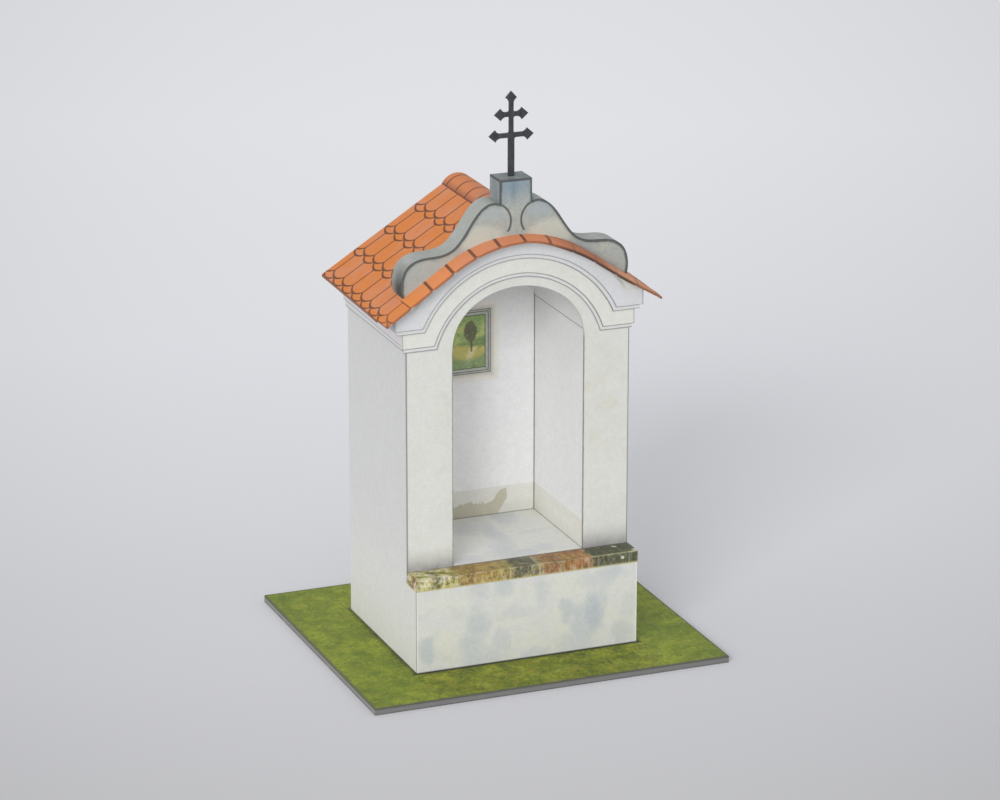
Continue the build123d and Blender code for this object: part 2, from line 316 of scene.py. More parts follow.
def makeTurfShade():
    shade = Shade("turfPrint", turfMarks)
    marks = turfMarks
    patches = shade.noise(marks["patchSize"], 4.0, 0.6)
    drift = shade.noise(9.0, 2.0, 0.5, shift=21.0)
    blades = shade.noise(marks["bladeSize"], 3.0, 0.65, (1.0, 0.85, 1.0), 3.0)
    value = patches * 0.46 + blades * 0.4 + drift * 0.14
    stops = [(0.4, "deep"), (0.5, "middle"), (0.6, "light")]
    shade.colour = shade.ramp(value, stops)
    shade.lay("dry", shade.patches(0.52, 0.72, 1.7, 4.0, 0.65, shift=40.0) * 0.48)
    # a dark band of painted contact shade where the plinth stands on the turf, and the shaded rim of
    # the sheet
    ahead = front - shade.y
    outside = ahead.most(abs(shade.x) - side).most(shade.y - rear)
    shade.fade("fresh", (abs(shade.x) - side).most(shade.y - rear), -1.0, 2.0, 0.22)
    gap = shade.rise(outside, marks["contactShadeReach"], 0.2) * (0.6 + shade.rise(ahead, -0.6, 0.0) * 0.35)
    shade.lay("gap", gap)
    inward = (turfHigh.x - abs(shade.x)).least(shade.y - turfLow.y).least(turfHigh.y - shade.y)
    rim = shade.rise(inward + (blades - 0.5) * 0.6, marks["rim"], 0.05)
    shade.lay("worn", rim * 0.7)
    shade.lay("cut", shade.rise(shade.facingZ, 0.5, 0.2))
    return shade.paper(0.6, 0.01)


limewashMarks = {
    "white": (213, 214, 212),
    "cream": (219, 219, 207),
    "blue": (162, 175, 190),
    "green": (190, 198, 186),
    "corner": (236, 237, 234),
    "foot": (104, 108, 100),
    "edge": (120, 120, 116),
    "bright": (255, 255, 252),
    "sill": (84, 74, 60),
    # middle, reach and strength of each pale blue stain on the plinth, across and up
    "plinth": [
        ((10.2, 5.6), (1.7, 3.6), 0.85),
        ((8.6, 3.4), (1.9, 2.6), 0.5),
        ((8.0, 5.9), (1.7, 1.5), 0.5),
        ((6.2, 6.2), (1.4, 1.9), 0.6),
        ((7.2, 1.4), (3.6, 1.7), 0.35),
        ((12.8, 11.2), (2.4, 1.2), 0.5),
        ((10.8, 10.4), (3.4, 1.3), 0.3),
        ((14.8, 1.8), (1.7, 1.7), 0.5),
        ((15.6, 5.6), (1.2, 2.4), 0.25),
        ((2.2, 9.8), (1.2, 2.8), 0.3),
        ((-2.0, 7.0), (3.2, 1.0), 0.3),
        ((-3.6, 11.6), (1.5, 2.0), 0.5),
        ((-7.6, 11.6), (2.2, 1.9), 0.45),
        ((-7.6, 8.8), (1.1, 3.0), 0.25),
        ((-7.6, 6.2), (1.9, 1.9), 0.6),
        ((-8.6, 3.0), (2.0, 2.6), 0.5),
        ((-4.2, 2.6), (1.5, 2.6), 0.35),
        ((-6.8, 1.2), (4.6, 1.2), 0.35),
        ((-15.5, 3.2), (1.4, 2.0), 0.75),
        ((1.4, 0.4), (2.6, 0.7), 0.4),
    ],
    # the same on the niche floor, across and back from the facade
    "floor": [
        ((0.5, 9.4), (1.4, 6.4), 0.8),
        ((4.2, 16.4), (1.8, 3.4), 0.8),
        ((-0.8, 4.4), (1.9, 3.6), 0.8),
        ((1.0, 1.4), (3.4, 1.5), 0.75),
        ((5.0, 2.8), (1.5, 1.9), 0.65),
        ((6.2, 9.4), (2.6, 0.9), 0.5),
        ((-2.6, 14.4), (2.6, 3.0), 0.6),
        ((-7.4, 1.6), (2.4, 1.8), 0.6),
    ],
}


def limewash(shade, across, up, stains, runs):
    # pale cream wash, with blue stains that run and fade
    wash = shade.noise(3.4, 3.0, 0.5, shift=7.0)
    shade.colour = shade.ramp(wash, [(0.32, "white"), (0.68, "cream")])
    wobbleX = shade.stray(2.4, 1.6, 2.0, 0.5, runs, 13.0)
    wobbleZ = shade.stray(3.0, 2.2, 2.0, 0.5, shift=31.0)
    stain = None
    for middle, reach, strength in stains:
        spread = (reach[0] * 1.3, reach[1] * 1.3)
        one = shade.blot(across + wobbleX, up + wobbleZ, middle, spread) * strength
        stain = one if stain is None else stain.most(one)
    mottled = stain * (0.35 + shade.noise(0.55, 4.0, 0.7, shift=17.0) * 1.2)
    shade.lay("blue", mottled * 0.7)
    shade.lay("green", shade.patches(0.56, 0.74, 2.8, 2.0, 0.5, shift=52.0) * 0.28)


def makePlinthShade():
    shade = Shade("plinthPrint", limewashMarks)
    limewash(shade, shade.x, shade.z - ground, limewashMarks["plinth"], (1.0, 1.0, 0.5))
    corner = shade.line(abs(shade.x) - (side - 0.08), 0.08, 0.06)
    shade.lay("corner", corner * 0.7)
    # painted contact shade: a thin dark line along the foot, where the plinth meets the turf
    shade.fade("foot", shade.z - ground, 0.16, 0.05, 0.6)
    shade.fade("edge", abs(shade.facingX), 0.6, 0.9, 0.6)
    shade.lay(cardTones["plain"], shade.rise(shade.facingY, 0.4, 0.6))
    return shade.paper()


def makeFloorShade():
    shade = Shade("nicheFloorPrint", limewashMarks)
    limewash(shade, shade.x, shade.y - facade, limewashMarks["floor"], (1.0, 0.5, 1.0))
    # the floor is washed paler, with painted light added towards the left middle, where the left
    # jamb's shadow falls
    leftPaintedLight = shade.blot(shade.x, shade.y - facade, (-7.0, 7.0), (8.0, 6.0))
    shade.lay("bright", 0.38 + leftPaintedLight * 0.25)
    sideWall = shade.line(abs(shade.x) - opening, 0.11, 0.06)
    walls = sideWall.most(shade.line(shade.y - nicheEnd, 0.11, 0.06))
    # painted shadow: a thin dark line along the floor's front edge, at the sill
    sill = shade.line(shade.y - facade, 0.09, 0.07)
    shade.lay(cardTones["darkLine"], walls * 0.5)
    shade.lay("sill", sill * 0.7)
    return shade.paper()


stoneMarks = {
    # the kinds of stone along the ledge, from the left end, across in millimetres
    "kinds": [
        (-17.1, (152, 120, 66)),
        (-16.6, (208, 202, 136)),
        (-14.7, (198, 192, 122)),
        (-14.1, (104, 106, 60)),
        (-13.5, (128, 124, 66)),
        (-12.9, (206, 198, 128)),
        (-10.9, (182, 172, 96)),
        (-10.3, (152, 122, 60)),
        (-7.8, (158, 126, 62)),
        (-6.9, (172, 142, 76)),
        (-4.6, (176, 152, 88)),
        (-2.7, (166, 152, 96)),
        (-1.9, (98, 99, 80)),
        (1.2, (100, 104, 88)),
        (1.8, (172, 164, 130)),
        (2.5, (164, 130, 84)),
        (3.2, (156, 110, 74)),
        (5.2, (160, 120, 84)),
        (6.2, (166, 120, 68)),
        (9.2, (176, 122, 82)),
        (9.8, (170, 142, 106)),
        (10.2, (78, 84, 64)),
        (17.1, (78, 84, 60)),
    ],
    "reach": 18.0,
    # where the pale left end and the dark right end set in
    "paleEnd": (-9.5, -12.0),
    "darkEnd": (9.6, 10.6),
    "moss": (82, 80, 42),
    "straw": (204, 184, 104),
    "rose": (168, 122, 100),
    "olive": (136, 126, 60),
    "darkStroke": (58, 56, 38),
    "paleStroke": (226, 220, 182),
    "cream": (230, 226, 202),
    "gap": (76, 82, 46),
    "speckle": (126, 130, 110),
    "darkComb": (76, 66, 42),
    "paleComb": (222, 214, 186),
    "spot": (226, 226, 214),
    "lilac": (132, 116, 118),
    "fold": (214, 206, 160),
    "lip": (200, 190, 134),
}


def makeStoneShade():
    shade = Shade("mixedStonePrint", stoneMarks)
    reach = stoneMarks["reach"]
    warp = shade.stray(1.7, 0.8, 4.0, 0.65, (1.0, 0.45, 1.0))
    along = (shade.x + warp + reach) / (2 * reach)
    stops = [((x + reach) / (2 * reach), tone) for x, tone in stoneMarks["kinds"]]
    shade.colour = shade.ramp(along, stops)
    # short strokes run back over the top and down the front, fine and soft
    strokes = shade.noise(0.46, 4.0, 0.65, (1.0, 0.42, 0.6), 5.0)
    flows = shade.noise(1.0, 4.0, 0.62, (0.55, 0.9, 1.2), 45.0)
    patches = shade.noise(1.3, 3.0, 0.6, (1.0, 0.6, 1.0), 29.0)
    pale = shade.rise(shade.x, *stoneMarks["paleEnd"])
    dark = shade.rise(shade.x, *stoneMarks["darkEnd"])
    shade.fade("moss", flows, 0.48, 0.36, 0.45 + pale * 0.35)
    shade.fade("straw", flows, 0.53, 0.66, 0.4 - dark * 0.3)
    shade.fade("rose", patches, 0.54, 0.68, 0.4 - dark * 0.36)
    shade.fade("olive", patches, 0.46, 0.34, 0.5 - dark * 0.4)
    shade.fade("darkStroke", strokes, 0.46, 0.32, 0.6)
    paleStroke = 0.35 + pale * 0.3 - dark * 0.2
    shade.fade("paleStroke", strokes, 0.54, 0.68, paleStroke)
    # cream patches with dark gaps at the pale end, and a grey-green speckle on the dark one
    cream = shade.noise(1.6, 3.0, 0.6, (0.8, 1.2, 1.3), 12.0)
    shade.lay("cream", shade.rise(cream, 0.48, 0.56) * pale * 0.6)
    shade.lay("gap", shade.rise(cream, 0.43, 0.36) * pale * 0.65)
    speckle = shade.patches(0.5, 0.66, 0.5, 3.0, 0.6, (1.0, 0.7, 1.0), 15.0)
    shade.lay("speckle", speckle * dark * 0.45)
    # the front is combed by upright strokes, both dark and pale
    ahead = shade.ahead()
    combed = shade.noise(0.55, 3.0, 0.6, (1.5, 0.5, 0.45), 70.0)
    shade.lay("darkComb", shade.rise(combed, 0.49, 0.33) * ahead * 0.5)
    shade.lay("paleComb", shade.rise(combed, 0.5, 0.66) * ahead * (0.38 - dark * 0.24))
    spots = shade.blot(shade.x, shade.y + (shade.x - 14.5) * 0.6, (14.5, facade - 1.0), (0.5, 0.34))
    corner = shade.blot(shade.x, shade.y, (16.9, front + 0.4), (0.8, 0.8)) * (1.0 - ahead)
    spots = spots.most(corner * shade.rise(speckle, 0.9, 0.1))
    spots = spots.most(shade.blot(shade.x, shade.z, (14.7, ledgeTop - 0.75), (0.36, 0.3)) * ahead)
    shade.fade("spot", spots, 0.15, 0.75, 0.8)
    # lilac along the back of the top, and cream where the card is folded
    onTop = shade.rise(shade.z - ledgeTop, -0.1, 0.0)
    shade.lay("lilac", shade.rise(shade.y, front + 2.9, front + 3.6) * onTop * 0.45)
    gaps = shade.patches(0.42, 0.6, 1.1, 3.0, 0.6, shift=33.0)
    fold = shade.line(shade.z - ledgeTop, 0.1, 0.1) * shade.line(shade.y - front, 0.14, 0.14)
    shade.lay("fold", fold * (0.1 + gaps * 0.4 + dark * 0.25))
    shade.fade("lip", shade.z - plinthTop, 0.3, 0.1, 0.6)
    return shade.paper(0.55)


wallMarks = {
    "cloud": (214, 214, 213),
    "low": (230, 229, 225),
    "foot": (104, 108, 100),
}


def makeWallShade():
    shade = Shade("plainCard", wallMarks)
    cloud = shade.noise(12.0, 2.0, 0.5)
    shade.colour = shade.mix(cardTones["plain"], "cloud", cloud * 0.6)
    upperFold = shade.line(shade.y - facade, 0.14, 0.08)
    upperFold = upperFold * shade.rise(shade.z, ledgeTop, ledgeTop + 0.1)
    lowerFold = shade.line(shade.y - (front + card), 0.09, 0.06)
    lowerFold = lowerFold * shade.rise(shade.z, plinthTop, plinthTop - 0.1)
    shade.lay(cardTones["greyLine"], upperFold * 0.6)
    shade.lay(cardTones["greyLine"], lowerFold * 0.9)
    shade.fade("low", shade.z, ledgeTop + 9.0, ground + 3.0, 0.8)
    # painted contact shade: a thin dark line along the wall's foot
    shade.fade("foot", shade.z - ground, 0.14, 0.04, 0.5)
    return shade.paper()


facadeMarks = {
    "cornerLine": 0.09,
    "openingLine": 0.09,
    "footShadeHeight": 4.3,
    "ringDrop": 3.5,
    "footShade": (122, 120, 126),
    "corner": (112, 110, 110),
    "cutSide": (186, 185, 182),
}
ringCentre = springing - facadeMarks["ringDrop"]


def makeFacadeShade():
    shade = Shade("facadePrint", facadeMarks)
    marks = facadeMarks
    wash = shade.noise(4.5, 4.0, 0.55, shift=3.0)
    worn = shade.rise(wash, 0.35, 0.75) * 0.55
    shade.colour = shade.mix(cardTones["creamWash"], cardTones["creamShade"], worn)
    ochre = shade.patches(0.53, 0.72, 2.6, 3.0, 0.6, (1.0, 1.0, 0.7), 61.0)
    shade.lay(cardTones["ochre"], ochre * (0.2 + shade.rise(shade.x, 0.0, 12.0) * 0.35))
    foot = shade.rise(shade.z - ledgeTop, marks["footShadeHeight"], -1.2)
    patchy = 0.85 + shade.stray(0.7, 1.3, 3.0, 0.6, shift=44.0)
    shade.lay("footShade", foot**1.55 * patchy)
    waver = shade.waver(1.6, 0.12)
    corner = shade.line(abs(shade.x) - (side - 0.06) + waver * 0.5, marks["cornerLine"])
    shade.lay("corner", corner * 0.8)
    jamb = shade.line(abs(shade.x) - opening + waver, marks["openingLine"])
    jamb = jamb * shade.rise(shade.z - springing, 1.0, -1.0)
    shade.lay(cardTones["darkLine"], jamb * 0.8)
    shade.fade("cutSide", abs(shade.facingX), 0.5, 0.8, 0.6)
    return shade.paper()


corniceMarks = {
    "lineHalfWidth": 0.08,
    "line": (128, 126, 124),
    "lilacLine": (148, 146, 160),
    "beige": (219, 219, 211),
    "fillet": (221, 222, 222),
    "frieze": (225, 226, 219),
    "corona": (219, 220, 223),
    "shadeWidth": 2.25,
    "sideFoot": 0.15,
    "sideFold": 0.8,
    "sideFoldRise": 0.45,
    "sideLine": (112, 108, 112),
    "sideTone": (221, 218, 221),
    "rim": (168, 168, 160),
}
# the height at which each course starts, and the ring's radius at the first one
courseStarts = [lowerFilletLow.z, friezeLow.z, upperFilletLow.z, coronaLow.z]
firstRing = lowerFilletHigh.z - ringCentre - (friezeLow.z - lowerFilletLow.z)


def makeCorniceShade():
    # every course is drawn by how far it stands above and outside the first edge line
    shade = Shade("cornicePrint", corniceMarks)
    marks = corniceMarks
    up = shade.z - courseStarts[0]
    reach = shade.z - ringCentre
    outward = (shade.x * shade.x + reach * reach) ** 0.5 - firstRing
    step = up.least(outward)
    edges = [start - courseStarts[0] for start in courseStarts]
    top = edges[3] + marks["shadeWidth"]
    shade.colour = shade.mix("fillet", "frieze", shade.rise(step, edges[1] - 0.05, edges[1] + 0.05))
    shade.lay("fillet", shade.rise(step, edges[2] - 0.05, edges[2] + 0.05))
    shade.lay("corona", shade.rise(step, edges[3] - 0.05, edges[3] + 0.05))
    wash = shade.patches(0.4, 0.75, 3.6, 3.0, 0.5, shift=3.0)
    shade.lay(cardTones["creamShade"], wash * 0.25)
    # under the eaves the wall above the ring is a little darker, and fades downwards: a beige print
    # tone deepened as painted shade of the roof
    high = shade.rise(up, top - 0.4, top + 1.6)
    shade.fade("beige", step, top - 0.2, top + 0.1, high)
    rim = shade.rise(abs(step - top - 0.15), 0.45, 0.0) * high * (step > top - 0.15)
    shade.lay("rim", rim * 0.6)
    waver = shade.waver(2.2, 0.12)
    width = marks["lineHalfWidth"]
    lines = shade.line(step - 0.07 + waver, width)
    for edge in edges[1:3]:
        lines = lines.most(shade.line(step - edge + waver, width))
    shade.lay("line", lines * 0.8)
    shade.lay("lilacLine", shade.line(step - edges[3] + waver, width) * 0.8)
    # along the walls the folded strip has its own two lines, which rise a little to the rear
    sideLow, sideHigh = inMm("side_cornice_lower_left")
    behind = shade.y > facade + 0.01
    share = (shade.y - facade) / (sideHigh.y - facade)
    foot = shade.z - sideLow.z - share * marks["sideFoot"]
    fold = foot - marks["sideFold"] - share * (marks["sideFoldRise"] - marks["sideFoot"])
    strip = shade.mix("fillet", "sideTone", fold > 0.0)
    strip = shade.mix(strip, "corona", shade.z > sideHigh.z)
    strip = shade.mix(strip, "line", shade.line(foot - 0.05, 0.08) * 0.75)
    strip = shade.mix(strip, "sideLine", shade.line(fold + waver * 0.4, 0.08) * 0.85)
    shade.lay(strip, behind)
    inFrieze = (step > edges[1]) * (step < edges[2])
    ends = shade.line(abs(shade.x) - (friezeHigh.x - 0.05), 0.1) * inFrieze
    shade.lay("line", ends * shade.ahead() * 0.6)
    tips = shade.line(abs(shade.x) - (coronaHigh.x - 0.08), 0.1) * (step > edges[3])
    shade.lay("lilacLine", tips * 0.6)
    return shade.paper()


nicheMarks = {
    "dadoHeight": 4.25,
    "vaultLineRise": 0.65,
    "vaultHook": 1.7,
    "wall": (246, 246, 246),
    "wallShade": (242, 242, 243),
    "dado": (229, 228, 219),
    "haze": (236, 231, 217),
    "line": (92, 90, 90),
    "highShade": (220, 220, 219),
    "leftLight": (255, 255, 255),
    "rightShade": (226, 226, 226),
    "dadoFoot": (206, 204, 194),
}


def nicheWash(shade):
    cloud = shade.noise(8.0, 3.0, 0.5, shift=2.0)
    shade.colour = shade.mix("wall", "wallShade", shade.rise(cloud, 0.35, 0.75) * 0.7)
    shade.fade("highShade", shade.z, springing - 8.0, springing + 4.0, 0.76)
    # evens out the light across the back wall
    shade.fade("leftLight", shade.x, -1.0, -8.0, 0.6)
    shade.fade("rightShade", shade.x, 4.0, 9.5, 0.35)
    dadoHeight = nicheMarks["dadoHeight"]
    up = shade.z - ledgeTop
    shade.fade("dado", up, dadoHeight + 0.12, dadoHeight - 0.12, 0.85)
    # painted shade: the dado darkens towards the floor, in the corner where wall and floor meet
    shade.fade("dadoFoot", up, 2.6, -0.4, 0.5)


def makeNicheShade():
    shade = Shade("nicheWallPrint", nicheMarks)
    nicheWash(shade)
    waver = shade.waver(1.4, 0.1)
    corner = shade.line(shade.y - nicheEnd, 0.12, 0.06)
    lineHeight = springing + nicheMarks["vaultLineRise"]
    springLine = shade.line(shade.z - lineHeight + waver, 0.08, 0.06)
    springLine = springLine * (abs(shade.x) > opening - 1.0)
    hookFoot = nicheMarks["vaultHook"]
    hook = corner * shade.rise(shade.z - springing, hookFoot + 0.2, hookFoot - 0.2)
    floorLine = shade.line(shade.z - ledgeTop, 0.09, 0.06)
    lines = (hook * 0.85).most(springLine * 0.75).most(floorLine * 0.55)
    shade.lay("line", lines * 0.85)
    return shade.paper()


pictureMarks = {
    "middle": -0.65,
    "low": 22.15,
    "high": 31.85,
    "halfWidth": 3.72,
    "frame": 0.86,
    "haloReach": 1.35,
    "strip": (166, 168, 160),
    "stripLight": (208, 210, 202),
    "frameLine": (58, 60, 60),
    "sky": (152, 182, 106),
    "glow": (206, 209, 124),
    "hill": (108, 143, 78),
    "field": (208, 194, 100),
    "tree": (76, 70, 52),
    "path": (234, 226, 170),
    "bank": (104, 150, 104),
    "cast": (184, 177, 158),
    "upperSky": (118, 156, 84),
    "lightStroke": (222, 214, 130),
    "darkStroke": (52, 66, 38),
    "gloss": (236, 236, 228),
}


def picture(shade):
    # a small framed print of a tree on a hill by a field path, hung on the back wall
    marks = pictureMarks
    across = shade.x - marks["middle"]
    up = shade.z - ledgeTop - marks["low"]
    height = marks["high"] - marks["low"]
    fromEdge = (marks["halfWidth"] - abs(across)).least(up).least(height - up)
    mottle = shade.noise(1.2, 3.0, 0.6, shift=8.0)
    reach = marks["haloReach"]
    halo = shade.rise(fromEdge + (mottle - 0.5) * 0.5, -reach - 0.2, -reach + 0.45)
    shade.lay("haze", halo * (0.45 + mottle * 0.3))
    # a painted shadow, darker right around the frame
    shade.fade("cast", fromEdge, -0.85, 0.1, 0.6)

    # loose brush strokes over soft shapes
    brush = shade.noise(0.5, 4.0, 0.65, (1.0, 1.0, 1.3), 6.0)
    broad = shade.noise(1.3, 3.0, 0.6, shift=16.0)
    sway = (brush - 0.5) * 1.1
    wall = shade.colour
    shade.colour = shade.mix("sky", "glow", shade.rise(broad, 0.42, 0.62) * 0.7)
    shade.fade("upperSky", up + sway, 6.6, 8.8, 0.6)
    hillLine = 5.0 + across * 0.24 + sway
    shade.fade("hill", up - hillLine, 0.3, -0.3, 0.85)
    fieldLine = 4.3 - across * 0.1 + sway
    shade.fade("field", up - fieldLine, 0.35, -0.35, 0.9)
    pathBend = (up - 1.0) * (up - 1.0) * 0.1 + 0.1
    path = shade.line(across - pathBend + sway * 0.4, 0.5, 0.35)
    path = path * shade.rise(up - fieldLine, 0.1, -0.5)
    shade.lay("path", path * 0.75)
    bankLine = 2.3 + across * across * 0.12 + (brush - 0.5) * 2.4
    shade.fade("bank", up - bankLine, 0.4, -0.6, 0.8)
    crown = shade.blot(across + sway, up + sway, (0.55, 6.5), (1.25, 1.9))
    trunk = shade.line(across - 0.7 + sway * 0.3, 0.16, 0.1) * (up > 3.4) * (up < 5.6)
    shade.lay("tree", shade.rise(crown, 0.1, 0.4).most(trunk) * 0.85)
    shade.fade("lightStroke", brush, 0.55, 0.72, 0.55)
    shade.fade("darkStroke", brush, 0.46, 0.3, 0.45)
    # the whole picture is mixed a little towards off-white
    shade.lay("gloss", 0.07)

    inside = fromEdge - marks["frame"]
    strip = shade.mix("stripLight", "strip", shade.noise(0.5, 2.0, 0.5, shift=2.5))
    framed = shade.mix(strip, shade.colour, inside > 0.0)
    lines = shade.line(fromEdge - 0.05, 0.06, 0.05)
    for place in (0.38, marks["frame"]):
        lines = lines.most(shade.line(fromEdge - place, 0.06, 0.05))
    mitre = shade.line((marks["halfWidth"] - abs(across)) - up.least(height - up), 0.05, 0.05)
    lines = lines.most(mitre * (inside < 0.0) * 0.7)
    framed = shade.mix(framed, "frameLine", lines * 0.85)
    shade.colour = shade.mix(wall, framed, fromEdge > 0.0)


stainMarks = {
    # the damp stain's upper edge, across and above the floor
    "edge": [
        (-10.0, 1.9),
        (-2.6, 1.9),
        (-1.2, 2.2),
        (-0.6, 2.35),
        (1.2, 1.9),
        (3.2, 2.1),
        (4.2, 3.3),
        (5.4, 3.85),
        (6.1, 3.4),
    ],
    "tallest": 5.0,
    "stain": (206, 202, 184),
    "driedStain": (196, 192, 172),
}


def stain(shade):
    marks = stainMarks
    ragged = shade.noise(0.42, 4.0, 0.7, (1.6, 1.0, 0.5), 5.0) - 0.5
    soft = shade.stray(0.6, 0.9, 3.0, 0.6, shift=25.0)
    share = (shade.x + opening) / (2 * opening)
    points = [((x + opening) / (2 * opening), z / marks["tallest"]) for x, z in marks["edge"]]
    points.append((1.0, points[-1][1]))
    top = shade.node("ShaderNodeFloatCurve", {"points": points}, {"Value": share}) * marks["tallest"]
    up = shade.z - ledgeTop
    spikes = ragged * shade.rise(shade.x, 3.6, 1.6) * 2.2
    below = shade.rise(up - top - spikes + soft, 0.07, -0.07)
    bank = 4.1 + up.least(2.2) * 0.68 + soft * 0.8
    beside = shade.rise(shade.x - bank, 0.07, -0.07)
    tone = shade.mix("stain", "driedStain", shade.noise(1.4, 3.0, 0.5, shift=19.0))
    shade.lay(tone, below * beside)


def makeNicheBackShade():
    shade = Shade("nicheBackPrint", nicheMarks | pictureMarks | stainMarks)
    nicheWash(shade)
    stain(shade)
    picture(shade)
    waver = shade.waver(1.4, 0.08)
    corner = shade.line(abs(shade.x) - opening + waver, 0.12, 0.06)
    hook = shade.rise(shade.z - springing, nicheMarks["vaultHook"], nicheMarks["vaultHook"] - 0.4)
    floorLine = shade.line(shade.z - ledgeTop, 0.1, 0.06)
    shade.lay("line", (corner * hook).most(floorLine * 0.7) * 0.85)
    return shade.paper()


tileMarks = {
    "pitch": math.radians(32.45),
    "columnPitch": 3.85,
    "firstJoint": 12.3,
    "jointDrift": 0.04,
    "rowPitch": 5.45,
    "firstRow": 0.85,
    "lobe": 0.86,
    "lastRow": 19.5,
    "narrowStart": -1.8,
    "narrowing": 0.12,
    "arcHalfWidth": 0.15,
    "jointHalfWidth": 0.16,
    "orange": (219, 129, 55),
    "salmon": (216, 139, 96),
    "line": (84, 46, 32),
    "joint": (112, 60, 34),
    "flush": (210, 130, 92),
    "eavesLine": (96, 60, 44),
    "cutEdge": (166, 118, 92),
}


def tileTone(shade, id1, id2, id3=0.0):
    # each tile has its own share of orange and salmon, blended with a soft cloud
    own = shade.dice(id1, id2, id3)
    cloud = shade.noise(2.6, 3.0, 0.55, shift=6.0)
    share = shade.rise(own * 0.4 + cloud * 1.2, 0.46, 1.0)
    colour = shade.mix("salmon", "orange", share)
    flush = shade.patches(0.5, 0.75, 1.1, 3.0, 0.6, shift=27.0)
    return shade.mix(colour, "flush", flush * 0.35)


def tilePattern(shade, along, up):
    # rounded tiles in two layers: the ends of the upper layer lie over those of the lower
    # one, so a small lens of the lower tile shows at every joint
    marks = tileMarks
    pitch = marks["columnPitch"]
    half = pitch / 2
    column = (along - marks["firstJoint"]) / pitch
    fromMiddle = column.fromMiddle() * pitch
    fromJoint = half - fromMiddle
    row = (up - marks["firstRow"]) / marks["rowPitch"]
    shifted = row + 0.45
    local = (shifted - shifted.floor() - 0.45) * marks["rowPitch"]
    upperEnd = fromMiddle * fromMiddle * (marks["lobe"] / half**2)
    lowerEnd = fromJoint * fromJoint * (marks["lobe"] / half**2) - marks["lobe"]
    shown = shade.rise(up, marks["lastRow"] + 0.1, marks["lastRow"])
    arcs = shade.line((local - upperEnd) * 0.85, marks["arcHalfWidth"], 0.08)
    arcs = arcs.most(shade.line((local - lowerEnd) * 0.85, marks["arcHalfWidth"], 0.08)) * shown
    lens = (local < upperEnd) * (local > lowerEnd) * shown
    joints = shade.line(fromJoint, marks["jointHalfWidth"], 0.08) * (1.0 - lens)
    second = lens * ((column - column.floor()) > 0.5)
    tone = tileTone(shade, column.floor() + second, row.floor(), lens * 7.0)
    faded = 0.78 + shade.noise(1.2, 2.0, 0.5, shift=81.0) * 0.3
    colour = shade.mix(tone, "joint", joints * faded * 0.9)
    return shade.mix(colour, "line", arcs * faded * 0.95)


def makeTileShade():
    # the joints lean a little towards the gable, and stand closer in front of narrowStart
    shade = Shade("tilePrint", tileMarks)
    up = (eaves - abs(shade.x)) / math.cos(tileMarks["pitch"])
    forward = (tileMarks["narrowStart"] - shade.y).most(0.0)
    along = shade.y - forward * tileMarks["narrowing"] + up * tileMarks["jointDrift"]
    shade.colour = tilePattern(shade, along, up)
    shade.fade("eavesLine", up, 0.12, 0.02, 0.8)
    shade.fade("cutEdge", shade.facingZ, 0.55, 0.3, 0.6)
    shade.lay(cardTones["plain"], shade.below())
    return shade.paper(0.58)


bandMarks = {
    "jointPitch": 3.85,
    "middleJoint": 0.3,
    "firstBandJoint": 4.35,
    "bandJointHalfWidth": 0.15,
    "slant": 0.17,
    "leftSlant": 0.09,
    # where a joint of the side tiles falls, back from the band's front edge
    "sideJoint": 2.95,
    "sideStretch": 1.02,
    "bandOrange": (230, 141, 77),
    "bandSalmon": (227, 146, 107),
    "pale": (236, 150, 108),
    "dull": (164, 102, 75),
    "leftTile": (240, 148, 78),
    "leftBand": (242, 150, 78),
    "pastLobe": (226, 160, 120),
    "rightEnd": (226, 164, 126),
    "frontLine": (150, 92, 62),
    "shadedFront": (92, 62, 48),
    "leftSide": (164, 100, 66),
    "rightSide": (66, 52, 44),
    "sideTip": (150, 100, 74),
    "under": (196, 190, 182),
}


